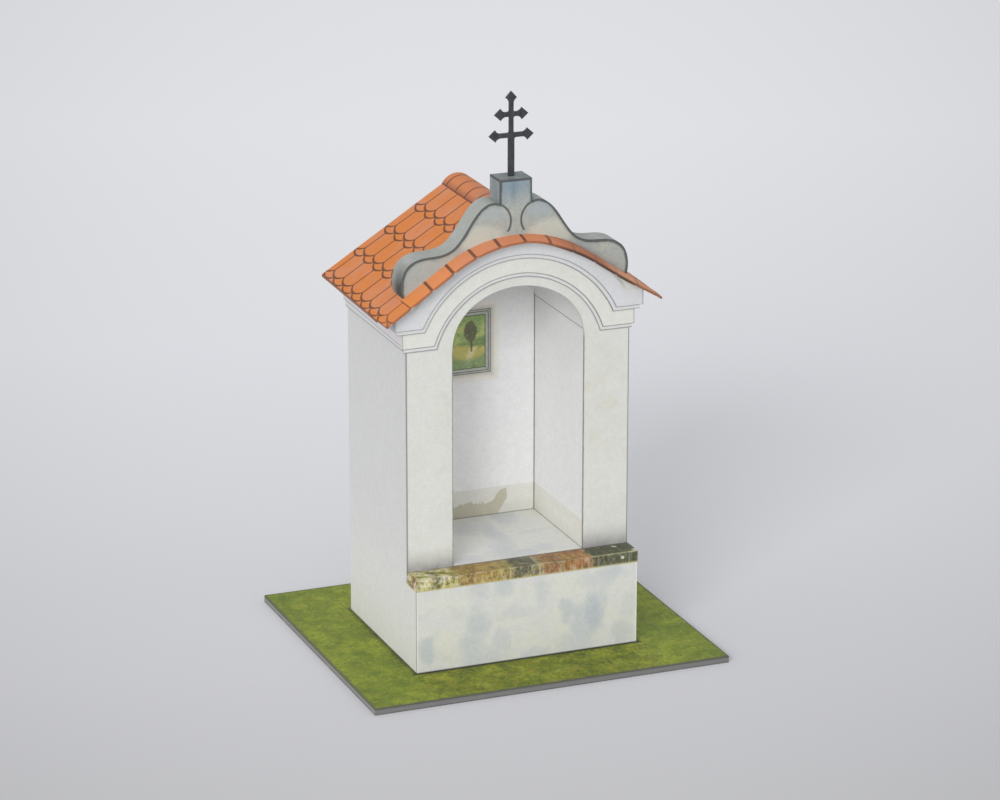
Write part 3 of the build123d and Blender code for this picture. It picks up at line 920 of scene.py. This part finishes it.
def makeVergeShade():
    # the band's print follows the bent sheet: along the arch, and back from its front edge
    shade = Shade("vergePrint", tileMarks | bandMarks)
    along, back, layer = shade.split(shade.kept("sheetPlace", "Vector"))
    marks = bandMarks
    up = vergeSheet["halfRun"] - abs(along)
    fromSideJoint = (back - marks["sideJoint"]) * marks["sideStretch"]
    flareY = fromSideJoint + tileMarks["firstJoint"] - 2 * tileMarks["columnPitch"]
    columns = tilePattern(shade, flareY, up)
    leftEnd = shade.rise(along, -8.0, -14.0)
    columns = shade.mix(columns, "leftTile", leftEnd * 0.2)
    straighter = shade.rise(along, 0.0, -9.0) * marks["leftSlant"]
    slanted = along + (vergeSheet["depth"] / 2 - back) * marks["slant"] + straighter * back
    place = (slanted - marks["middleJoint"]) / marks["jointPitch"] + 0.5
    fromJoint = place.fromMiddle() * marks["jointPitch"]
    own = shade.dice(place.floor(), 9.0)
    width = marks["bandJointHalfWidth"] + own * 0.06
    joints = shade.rise(fromJoint, width + 0.17, width - 0.07)
    joints = joints * shade.rise(up, marks["firstBandJoint"] + 1.6, marks["firstBandJoint"] + 2.0)
    # over the arch the tiles are salmon, and paler towards the right, as painted light where the band
    # turns away from the lamp
    shade.colour = shade.mix(tileTone(shade, place.floor(), 3.0), "bandOrange", 0.25)
    salmonWithPaintedLight = shade.mix("bandSalmon", "pale", shade.rise(along, -4.0, 2.0))
    shade.fade(salmonWithPaintedLight, up, 6.0, 9.5, 0.7)
    shade.lay("leftBand", leftEnd * 0.5)
    # painted shade makes it brown where it hangs under the right lobe, and it is pale again past it
    lobeShade = shade.rise(along, 2.5, 8.0)
    shade.lay("dull", lobeShade * 0.72)
    shade.fade("pastLobe", along, 12.5, 15.5, 0.85)
    shade.lay("line", joints * (0.85 - lobeShade * 0.6))
    shade.colour = shade.mix(columns, shade.colour, up > marks["firstBandJoint"])
    shade.fade("rightEnd", along, 15.0, 19.0, 0.55)
    shade.lay("joint", shade.line(up - marks["firstBandJoint"], 0.1, 0.08) * 0.85)
    # the printed side wraps the front edge, a little browner there, and dark at the joints
    shade.fade("frontLine", back, 0.36, 0.05, 0.4)
    # painted shade: the front is darkened towards the right, and the cut side turns from brown at the
    # left to a painted shadow at the right
    tip = shade.rise(along, 17.0, 20.5)
    shadedFront = shade.rise(back, 0.42, 0.12) * shade.rise(along, 4.0, 8.0) * (1.0 - tip * 0.8)
    shade.lay("shadedFront", shadedFront * 0.7)
    shade.fade("eavesLine", up, 0.12, 0.02, 0.8)
    sideTone = shade.mix("leftSide", "rightSide", shade.rise(along, 0.0, 8.0))
    sideTone = shade.mix(sideTone, "sideTip", tip * 0.8)
    shade.lay(sideTone, shade.ahead() * 0.8)
    shade.lay("under", (layer < 0.5) * shade.below())
    return shade.paper(0.58)


ridgeMarks = {
    "jointPitch": 3.65,
    "firstJoint": 12.2,
    "jointHalfWidth": 0.19,
    "warm": (214, 128, 82),
    "dull": (200, 130, 94),
    "orange": (218, 132, 66),
    "shadeTone": (146, 88, 62),
    "line": (88, 48, 32),
}


def makeRidgeShade():
    shade = Shade("ridgePrint", ridgeMarks)
    along, back, layer = shade.split(shade.kept("sheetPlace", "Vector"))
    marks = ridgeMarks
    place = (shade.y - marks["firstJoint"]) / marks["jointPitch"] + 0.5
    fromJoint = place.fromMiddle() * marks["jointPitch"]
    own = shade.dice(place.floor(), 5.0)
    cloud = shade.noise(1.8, 3.0, 0.5, shift=14.0)
    shade.colour = shade.mix("warm", "dull", shade.rise(own * 0.5 + cloud, 0.5, 1.1))
    shade.fade("orange", shade.y, 3.0, 9.0, 0.6)
    halfRun = ridgeSheet["halfRun"]
    shade.fade("shadeTone", halfRun - abs(along), 1.5, 0.1, 0.7)
    joints = shade.line(fromJoint, marks["jointHalfWidth"])
    edge = shade.rise(halfRun - abs(along), 0.4, 0.2)
    shade.lay("line", joints.most(edge * 0.75) * 0.85)
    shade.lay(cardTones["plain"], shade.below() * (layer < 0.5))
    return shade.paper(0.58)


gableMarks = {
    "outline": 0.26,
    "curlCentre": (3.45, 64.9),
    "curlRadius": 2.68,
    "curlHalfWidth": 0.155,
    "curlFoot": 63.3,
    "creamMiddle": (5.4, 62.7),
    "creamReach": (4.6, 2.6),
    "crestMiddle": (3.6, 66.2),
    "crestReach": (2.6, 1.5),
    "leftLobeMiddle": (-13.6, 57.8),
    "leftLobeReach": (4.2, 3.4),
    "rightLobeMiddle": (11.4, 57.4),
    "rightLobeReach": (2.6, 1.5),
    "streakFoot": 66.6,
    "streakHead": 68.4,
    "cream": (201, 204, 192),
    "crest": (166, 178, 184),
    "grey": (172, 179, 174),
    "blue": (156, 170, 176),
    "beige": (186, 189, 176),
    "rose": (180, 173, 167),
    "green": (156, 170, 162),
    "crown": (112, 138, 160),
    "line": (72, 78, 78),
    "fineGrey": (132, 140, 138),
    "streak": (96, 122, 146),
    "leftLobe": (170, 180, 180),
    "rightLobe": (182, 166, 146),
    "softRim": (132, 138, 136),
    "strip": (164, 165, 160),
    "stripLight": (190, 193, 190),
    "foot": (52, 57, 56),
    "pedestalDark": (124, 132, 137),
    "pedestalLight": (146, 154, 159),
}


def gableWash(shade):
    # watery greys, with beige, rose and green let into one another
    wet = shade.noise(1.5, 4.0, 0.62, shift=1.0)
    warm = shade.noise(3.4, 3.0, 0.55, shift=23.0)
    cool = shade.noise(2.2, 3.0, 0.55, shift=37.0)
    shade.colour = shade.mix("grey", "beige", shade.rise(warm, 0.44, 0.64) * 0.75)
    shade.fade("blue", cool, 0.52, 0.72, 0.5)
    shade.fade("rose", wet, 0.5, 0.68, 0.35)
    shade.fade("green", wet, 0.47, 0.3, 0.6)
    fine = shade.noise(0.45, 3.0, 0.6, shift=91.0)
    shade.fade("fineGrey", fine, 0.52, 0.32, 0.3)


def makeGableShade():
    # the front of the scroll gable, outlined along its rim, with the two curls
    shade = Shade("gablePrint", gableMarks)
    marks = gableMarks
    gableWash(shade)
    # cream under each curl, cooler crests above them, and blue up the pedestal
    cream = shade.blot(abs(shade.x), shade.z, marks["creamMiddle"], marks["creamReach"])
    shade.fade("cream", cream, 0.0, 0.9, 0.75)
    crest = shade.blot(abs(shade.x), shade.z, marks["crestMiddle"], marks["crestReach"])
    shade.lay("crest", crest * 0.6)
    shade.fade("crown", shade.z, gableHigh.z - 3.6, gableHigh.z - 0.6, 0.62)
    streak = shade.line(shade.x + shade.waver(1.6, 0.9) + 0.3, 0.25, 0.7)
    streak = streak * shade.rise(shade.z, marks["streakFoot"], marks["streakHead"])
    shade.lay("streak", streak * 0.55)
    # a cooler left lobe, and a browner right one, which is painted shade warmed by the orange band
    # below it
    for lobe, share in (("leftLobe", 0.5), ("rightLobe", 0.6)):
        spot = shade.blot(shade.x, shade.z, marks[lobe + "Middle"], marks[lobe + "Reach"])
        shade.lay(lobe, spot * share)
    stroke = shade.stray(0.3, 0.9, 3.0, 0.6, shift=66.0)
    rim = shade.kept("rim", "Fac")
    heavy = shade.rise(shade.x, 2.0, 8.0) * 0.08
    reach = rim + stroke - heavy
    outline = shade.rise(reach, marks["outline"] + 0.12, marks["outline"] - 0.08)
    centreX, centreZ = marks["curlCentre"]
    across = abs(shade.x) - centreX
    up = shade.z - centreZ
    fromCurl = (across * across + up * up) ** 0.5 - marks["curlRadius"]
    curl = shade.line(fromCurl + stroke * 0.4, marks["curlHalfWidth"], 0.09)
    foot = marks["curlFoot"]
    curl = curl * shade.rise(abs(shade.x), 2.6, 2.4) * shade.rise(shade.z, foot - 0.1, foot + 0.2)
    shade.fade("softRim", reach, marks["outline"] + 0.5, marks["outline"], 0.35)
    shade.lay("line", outline.most(curl) * 0.88)
    return shade.paper(0.6)


def makeGableEdgeShade():
    # the strips that close the gable along its scrolls, shaded towards their feet
    shade = Shade("gableEdgePrint", gableMarks)
    gableWash(shade)
    shade.lay("strip", 0.6)
    streak = shade.noise(1.6, 3.0, 0.5, (1.0, 0.3, 1.0), 12.0)
    shade.fade("stripLight", streak, 0.5, 0.7, 0.35)
    back = shade.y - gableLow.y
    foot = shade.rise(shade.z, gableLow.z + 6.2, gableLow.z + 0.8)
    foot = foot * shade.rise(abs(shade.x), 14.6, 16.4) * (0.35 + shade.rise(back, 3.8, 1.2) * 0.65)
    grain = 0.75 + shade.noise(0.5, 3.0, 0.6, (1.0, 1.0, 0.3), 18.0) * 0.5
    shade.lay("foot", (foot * grain).least(0.92))
    shade.fade("line", back, 0.3, 0.1, 0.6)
    pedestal = shade.rise(shade.z, gableHigh.z - 3.4, gableHigh.z - 3.0)
    pedestal = pedestal * shade.rise(abs(shade.x), 3.0, 2.6)
    upright = shade.rise(abs(shade.facingX), 0.7, 0.9)
    streaks = shade.noise(0.9, 3.0, 0.55, (1.0, 1.0, 0.35), 55.0)
    pedestalTone = shade.ramp(streaks, [(0.35, "pedestalDark"), (0.65, "pedestalLight")])
    shade.lay(pedestalTone, pedestal * upright * 0.8)
    return shade.paper(0.6)


capMarks = {
    "dark": (117, 123, 124),
    "light": (143, 148, 149),
    "edge": (72, 75, 77),
}


def makeCapShade():
    shade = Shade("capPrint", capMarks)
    wash = shade.noise(1.4, 3.0, 0.5)
    shade.colour = shade.ramp(wash, [(0.3, "dark"), (0.7, "light")])
    edge = shade.line(shade.y - capLow.y, 0.22, 0.12)
    edge = edge.most(shade.line(abs(shade.x) - capHigh.x, 0.16, 0.1))
    shade.lay("edge", edge * 0.8)
    return shade.paper(0.6)


crossMarks = {
    "dark": (38, 41, 45),
    "light": (66, 70, 74),
    "cutEdge": (58, 59, 58),
}


def makeCrossShade():
    # card brushed with dark paint, with a painted highlight making it a little paler along its edges
    shade = Shade("crossPaint", crossMarks)
    brush = shade.noise(0.8, 4.0, 0.6, (1.0, 1.0, 0.4))
    shade.colour = shade.ramp(brush, [(0.3, "dark"), (0.7, "light")])
    shade.fade("cutEdge", abs(shade.facingY), 0.7, 0.3, 0.6)
    return shade.paper(0.5, 0.02, 0.35)

def makeBentSheetTree():
    # a sheet bent over an arc, with a straight run past each end of it
    group = bpy.data.node_groups.new("bentSheet", "GeometryNodeTree")
    lengths = ["Radius", "Half angle", "Straight run", "Centre height", "Front", "Depth", "Thickness"]
    lengths += ["Joint pitch", "Middle joint", "Notch depth", "Notch reach"]
    lengths += ["Droop", "Droop reach", "Droop start", "Droop full", "Droop easing"]
    for name in lengths:
        group.interface.new_socket(name, in_out="INPUT", socket_type="NodeSocketFloat")
    for name in ("Steps along", "Steps back"):
        group.interface.new_socket(name, in_out="INPUT", socket_type="NodeSocketInt")
    group.interface.new_socket("Print", in_out="INPUT", socket_type="NodeSocketMaterial")
    group.interface.new_socket("Geometry", in_out="OUTPUT", socket_type="NodeSocketGeometry")
    tree = Tree(group)
    given = group.nodes.new("NodeGroupInput")
    value = {socket.name: Term(tree, socket) for socket in given.outputs if socket.name}
    counts = {"Vertices X": value["Steps along"], "Vertices Y": value["Steps back"], "Vertices Z": 2}
    sheet = tree.node("GeometryNodeMeshCube", {}, {"Size": (1, 1, 1)} | counts)
    spot = tree.node("GeometryNodeInputPosition")
    flatX, flatY, flatZ = tree.node("ShaderNodeSeparateXYZ", {}, {0: spot}, ("X", "Y", "Z"))
    halfRun = value["Radius"] * value["Half angle"] + value["Straight run"]
    along = flatX * 2.0 * halfRun
    turn = (along / value["Radius"]).least(value["Half angle"]).most(value["Half angle"] * -1.0)
    straight = along - turn * value["Radius"]
    radius = value["Radius"] + (flatZ - 0.5) * value["Thickness"]
    sine = turn.maths("SINE")
    cosine = turn.maths("COSINE")
    x = radius * sine + straight * cosine
    # a small notch in the front edge at every joint
    joint = (along - value["Middle joint"]) / value["Joint pitch"] + 0.5
    fromJoint = joint.fromMiddle() * value["Joint pitch"]
    near = (1.0 - fromJoint / value["Notch reach"]).most(0.0)
    notch = near * near * value["Notch depth"] * (0.5 - flatY)
    back = (flatY + 0.5) * value["Depth"]
    y = value["Front"] + back + notch
    # on one side the front edge hangs down in front of the cornice
    fromFront = (1.0 - back / value["Droop reach"]).most(0.0)
    hanging = tree.rise(along, value["Droop start"], value["Droop full"])
    hanging = hanging * (1.0 - tree.rise(along, value["Droop easing"], halfRun) * 0.7)
    droop = fromFront**1.4 * hanging * value["Droop"]
    z = value["Centre height"] + radius * cosine - straight * sine - droop
    bent = tree.node("ShaderNodeCombineXYZ", {}, {0: x, 1: y, 2: z})
    place = {0: along * 1000.0, 1: back * 1000.0, 2: flatZ + 0.5}
    printed = tree.node("ShaderNodeCombineXYZ", {}, place)
    marked = tree.node(
        "GeometryNodeStoreNamedAttribute",
        {"data_type": "FLOAT_VECTOR", "domain": "POINT"},
        {"Geometry": sheet, "Name": "sheetPlace", "Value": printed},
    )
    shaped = tree.node("GeometryNodeSetPosition", {}, {"Geometry": marked, "Position": bent})
    real = tree.node("GeometryNodeRealizeInstances", {}, {"Geometry": shaped})
    dressed = {"Geometry": real, "Material": value["Print"]}
    finished = tree.node("GeometryNodeSetMaterial", {}, dressed)
    tree.node("NodeGroupOutput", {}, {"Geometry": finished})
    return group


def roundOff(mesh):
    for polygon in mesh.polygons:
        polygon.use_smooth = True
    mesh.set_sharp_from_angle(angle=math.radians(30))


def growPiece(name, group, inputs):
    # runs a tree on a piece and keeps what it makes as a plain mesh
    piece = bpy.data.objects.new(name, bpy.data.meshes.new(name))
    bpy.context.scene.collection.objects.link(piece)
    modifier = piece.modifiers.new("grow", "NODES")
    modifier.node_group = group
    for item in group.interface.items_tree:
        if item.item_type == "SOCKET" and item.in_out == "INPUT":
            modifier[item.identifier] = inputs[item.name]
    evaluated = piece.evaluated_get(bpy.context.evaluated_depsgraph_get())
    grown = bpy.data.meshes.new_from_object(evaluated)
    piece.modifiers.clear()
    piece.data = grown
    grown.name = name
    roundOff(grown)
    return piece


bentSheetTree = makeBentSheetTree()

# the roof's front band, over the arch
vergePitch = math.radians(34.0)
vergeRadius = vergeHigh.z - ringCentre
vergeRun = (vergeHigh.x - vergeRadius * math.sin(vergePitch)) / math.cos(vergePitch)
vergeDepth = vergeHigh.y - vergeLow.y
vergeSheet = {
    "halfAngle": vergePitch,
    "halfRun": vergeRadius * vergePitch + vergeRun,
    "depth": vergeDepth,
    "steps": (361, 15),
    "lengths": {
        "Radius": vergeRadius,
        "Straight run": vergeRun,
        "Centre height": ringCentre,
        "Front": vergeLow.y,
        "Depth": vergeDepth,
        "Thickness": card,
        "Joint pitch": bandMarks["jointPitch"],
        "Middle joint": bandMarks["middleJoint"] - vergeDepth / 2 * bandMarks["slant"],
        "Notch depth": 0.18,
        "Notch reach": 0.7,
        "Droop": 0.7,
        "Droop reach": 1.95,
        "Droop start": 0.0,
        "Droop full": 8.0,
        "Droop easing": 16.0,
    },
}


def vergeSurface(x):
    # the height of the band's upper face
    bend = vergeRadius * math.sin(vergePitch)
    if abs(x) < bend:
        return ringCentre + math.sqrt(vergeRadius**2 - x * x)
    turn = ringCentre + vergeRadius * math.cos(vergePitch)
    return turn - (abs(x) - bend) * math.tan(vergePitch)


# the arched cover along the ridge, with neither notches nor a droop
ridgeRise = stripHigh.z - stripLow.z
ridgeRadius = (stripHigh.x**2 + ridgeRise**2) / (2 * ridgeRise)
ridgeAngle = math.asin(stripHigh.x / ridgeRadius)
ridgeSheet = {
    "halfAngle": ridgeAngle,
    "halfRun": ridgeRadius * ridgeAngle,
    "steps": (49, 41),
    "lengths": {
        "Radius": ridgeRadius,
        "Straight run": 0.0,
        "Centre height": stripHigh.z - ridgeRadius,
        "Front": stripLow.y,
        "Depth": stripHigh.y - stripLow.y,
        "Thickness": card,
        "Joint pitch": ridgeMarks["jointPitch"],
        "Middle joint": 0.0,
        "Notch depth": 0.0,
        "Notch reach": 1.0,
        "Droop": 0.0,
        "Droop reach": 1.0,
        "Droop start": 0.0,
        "Droop full": 1.0,
        "Droop easing": 0.0,
    },
}


def bendSheet(name, sheet, material):
    inputs = {length: size / 1000 for length, size in sheet["lengths"].items()}
    inputs["Half angle"] = sheet["halfAngle"]
    inputs["Steps along"], inputs["Steps back"] = sheet["steps"]
    inputs["Print"] = material
    return growPiece(name, bentSheetTree, inputs)


def makeVerge():
    piece = bendSheet("vergeBand", vergeSheet, makeVergeShade())
    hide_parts("roof_verge")
    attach(piece, "root")


def makeRidge():
    piece = bendSheet("ridgeCover", ridgeSheet, makeRidgeShade())
    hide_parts("ridge_strip")
    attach(piece, "root")


makeVerge()
makeRidge()
print("shrine: verge and ridge bent")


gablePlate = {
    "spacing": 0.3,
    # an edge this near to the band stands on it, and isn't outlined
    "footReach": 0.25,
}


def frontOutline(node):
    # the loop round a flat plate's front face, in x and z, in metres
    mesh = bmesh.new()
    mesh.from_mesh(nodes[node].data)
    bmesh.ops.remove_doubles(mesh, verts=mesh.verts, dist=1e-7)
    facing = {face for face in mesh.faces if face.normal.y < -0.9}
    following = {}
    for face in facing:
        for loop in face.loops:
            others = [other for other in loop.edge.link_faces if other is not face]
            if not others or others[0] not in facing:
                following[loop.vert.index] = loop.link_loop_next.vert.index
    mesh.verts.ensure_lookup_table()
    start = min(following)
    order = [start]
    while following[order[-1]] != start:
        order.append(following[order[-1]])
    outline = [(mesh.verts[i].co.x, mesh.verts[i].co.z) for i in order]
    mesh.free()
    return outline


def fromSegments(point, segments):
    # the least distance from a point to any of the segments
    px, pz = point
    least = 1.0
    for (ax, az), (bx, bz) in segments:
        dx, dz = bx - ax, bz - az
        length = dx * dx + dz * dz
        share = 0.0
        if length > 0:
            share = max(0.0, min(1.0, ((px - ax) * dx + (pz - az) * dz) / length))
        least = min(least, math.hypot(px - ax - share * dx, pz - az - share * dz))
    return least


def inOutline(point, outline):
    px, pz = point
    inside = False
    for (ax, az), (bx, bz) in zip(outline, outline[1:] + outline[:1]):
        if (az > pz) != (bz > pz) and px < (bx - ax) * (pz - az) / (bz - az) + ax:
            inside = not inside
    return inside


def makeGableFront():
    outline = frontOutline("gable_front")
    low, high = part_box("gable_front")
    spacing = gablePlate["spacing"] / 1000
    # long straight edges are divided, so that the rim's distance stays true along them
    every = list(zip(outline, outline[1:] + outline[:1]))
    divided = []
    drawn = []
    for (ax, az), (bx, bz) in every:
        middle = ((ax + bx) / 2, (az + bz) / 2)
        aboveVerge = abs(middle[1] * 1000 - vergeSurface(middle[0] * 1000))
        if aboveVerge > gablePlate["footReach"] and middle[1] < high.z - 0.0001:
            drawn.append(((ax, az), (bx, bz)))
        parts = max(1, math.ceil(math.hypot(bx - ax, bz - az) / spacing))
        for part in range(parts):
            share = part / parts
            divided.append((ax + (bx - ax) * share, az + (bz - az) * share))
    count = len(divided)
    points = [Vector(spot) for spot in divided]
    across = math.ceil((high.x - low.x) / spacing)
    up = math.ceil((high.z - low.z) / spacing)
    for row in range(up + 1):
        for column in range(across + 1):
            spot = (low.x + (column + 0.5 * (row % 2)) * spacing, low.z + row * spacing)
            if inOutline(spot, outline) and fromSegments(spot, every) > 0.35 * spacing:
                points.append(Vector(spot))
    edges = [(i, (i + 1) % count) for i in range(count)]
    made = delaunay_2d_cdt(points, edges, [list(range(count))], 1, 1e-9)
    spots, triangles = made[0], made[2]
    rims = [fromSegments(spot, drawn) * 1000 for spot in spots]

    mesh = bmesh.new()
    rimLayer = mesh.verts.layers.float.new("rim")
    fronts = [mesh.verts.new((spot.x, low.y, spot.y)) for spot in spots]
    backs = [mesh.verts.new((spot.x, high.y, spot.y)) for spot in spots]
    for vert, rim in zip(fronts + backs, rims + rims):
        vert[rimLayer] = rim
    sides = []
    for triangle in triangles:
        mesh.faces.new([fronts[i] for i in triangle])
        mesh.faces.new([backs[i] for i in reversed(triangle)])
        for a, b in zip(triangle, triangle[1:] + triangle[:1]):
            sides.append((a, b))
    known = set(sides)
    for a, b in sides:
        if (b, a) not in known:
            mesh.faces.new([fronts[b], fronts[a], backs[a], backs[b]])
    bmesh.ops.recalc_face_normals(mesh, faces=mesh.faces)
    data = bpy.data.meshes.new("gableFace")
    mesh.to_mesh(data)
    mesh.free()
    roundOff(data)
    data.materials.append(makeGableShade())
    piece = bpy.data.objects.new("gableFace", data)
    bpy.context.scene.collection.objects.link(piece)
    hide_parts("gable_front")
    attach(piece, "root")
    print("shrine: gable face cut,", len(data.polygons), "faces")


makeGableFront()


finishes = [
    (makeBoardShade, ["base_board"]),
    (makeTurfShade, ["turf_sheet"]),
    (makePlinthShade, ["plinth_front"]),
    (makeStoneShade, ["ledge"]),
    (makeFloorShade, ["niche_floor"]),
    (makeNicheBackShade, ["niche_back"]),
    (makeCapShade, ["pedestal_cap"]),
    (makeCrossShade, ["cross"]),
    (makeWallShade, ["wall_right", "wall_left", "wall_rear"]),
    (makeFacadeShade, ["pier_right", "pier_left", "front_arch"]),
    (makeNicheShade, ["niche_right", "niche_left", "niche_vault"]),
    (makeCorniceShade, [name for name in nodes if "cornice" in name]),
    (makeTileShade, ["roof_right", "roof_left", "roof_verge", "ridge_strip"]),
    (makeGableEdgeShade, ["gable_front", "gable_back", "gable_edge_right", "gable_edge_left"]),
]
dressed = 0
for makeShade, names in finishes:
    material = makeShade()
    for name in names:
        dressed += 1
        for slot in nodes[name].material_slots:
            slot.material = material
print("shrine: prints laid on", dressed, "card pieces")


stageSizes = {
    "floorReach": 4.0,
    "keyPlace": (-0.77, -0.86, 0.50),
    "keySize": 0.55,
    "keyPower": 8.3,
    "fillPlace": (-0.42, -1.15, 0.24),
    "fillSize": 0.8,
    "fillPower": 2.0,
    "skyStrength": 0.665,
}
paintedFloorLight = {
    # painted light on the paper floor: its tones from before the model to behind it, in metres
    "inward": [
        (-0.06, (206, 206, 208)),
        (-0.02, (216, 216, 220)),
        (0.05, (229, 230, 233)),
        (0.14, (243, 243, 247)),
        (0.30, (253, 253, 255)),
    ],
    "fall": 5.2,
    # the way that inward points, in x and y
    "heading": (0.3725, 0.928),
}


def makeFloor():
    reach = stageSizes["floorReach"]
    data = bpy.data.meshes.new("floor")
    corners = [(-reach, -reach, 0), (reach, -reach, 0), (reach, reach, 0), (-reach, reach, 0)]
    data.from_pydata(corners, [], [(0, 1, 2, 3)])
    floor = bpy.data.objects.new("floor", data)
    bpy.context.scene.collection.objects.link(floor)
    shade = Shade("paleFloor")
    # painted light: lighter behind the model, and darker towards the sides
    headX, headY = paintedFloorLight["heading"]
    inward = (shade.x * headX + shade.y * headY) / 1000.0
    lateral = (shade.x * headY - shade.y * headX) / 1000.0
    stops = [((place + 0.1) / 0.5, tone) for place, tone in paintedFloorLight["inward"]]
    shade.colour = shade.ramp((inward + 0.1) / 0.5, stops)
    aside = lateral / (inward + 0.56).most(0.2)
    shade.lay((0, 0, 0), (aside * aside * paintedFloorLight["fall"]).least(0.5))
    surface = shade.node("ShaderNodeBsdfDiffuse", {}, {"Color": shade.colour})
    shade.node("ShaderNodeOutputMaterial", {}, {"Surface": surface})
    data.materials.append(shade.material)


def makeLights():
    sizes = stageSizes
    for name in ("key", "fill"):
        lamp = bpy.data.lights.new(name + "Softbox", "AREA")
        lamp.shape = "SQUARE"
        lamp.size = sizes[name + "Size"]
        lamp.energy = sizes[name + "Power"]
        lamp.color = (1.0, 0.995, 0.985)
        softbox = bpy.data.objects.new(name + "Softbox", lamp)
        softbox.location = sizes[name + "Place"]
        aim = Vector((0.0, 0.0, 0.03)) - softbox.location
        softbox.rotation_euler = aim.to_track_quat("-Z", "Y").to_euler()
        bpy.context.scene.collection.objects.link(softbox)

    world = bpy.data.worlds.new("studio")
    bpy.context.scene.world = world
    world.use_nodes = True
    world.node_tree.nodes.clear()
    tree = Tree(world.node_tree)
    rays = ("Is Camera Ray", "Is Glossy Ray", "Is Transmission Ray")
    camera, glossy, clear = tree.node("ShaderNodeLightPath", {}, {}, rays)
    seen = camera.most(glossy).most(clear)
    sky = {"Color": ink(252, 253, 255), "Strength": sizes["skyStrength"]}
    light = tree.node("ShaderNodeBackground", {}, sky)
    studio = {"Color": ink(222, 224, 228), "Strength": 1.0}
    backdrop = tree.node("ShaderNodeBackground", {}, studio)
    both = tree.node("ShaderNodeMixShader", {}, {0: seen, 1: light, 2: backdrop})
    tree.node("ShaderNodeOutputWorld", {}, {"Surface": both})


cameraSizes = {
    "place": (-0.20671, -0.51800, 0.21731),
    "azimuth": -21.870,
    "elevation": 18.036,
    "roll": 0.056,
    "lens": 146.56,
    "sensor": 36.0,
}


def makeCamera():
    sizes = cameraSizes
    data = bpy.data.cameras.new("camera")
    data.sensor_width = sizes["sensor"]
    data.lens = sizes["lens"]
    data.clip_start = 0.01
    data.clip_end = 20.0
    camera = bpy.data.objects.new("camera", data)
    turned = Matrix.Rotation(math.radians(sizes["azimuth"]), 4, "Z")
    tipped = Matrix.Rotation(math.radians(90 - sizes["elevation"]), 4, "X")
    rolled = Matrix.Rotation(math.radians(sizes["roll"]), 4, "Z")
    camera.matrix_world = Matrix.Translation(sizes["place"]) @ turned @ tipped @ rolled
    bpy.context.scene.collection.objects.link(camera)
    bpy.context.scene.camera = camera


makeFloor()
makeLights()
makeCamera()
view = bpy.context.scene.view_settings
view.view_transform = "Standard"
print("shrine: stage set")
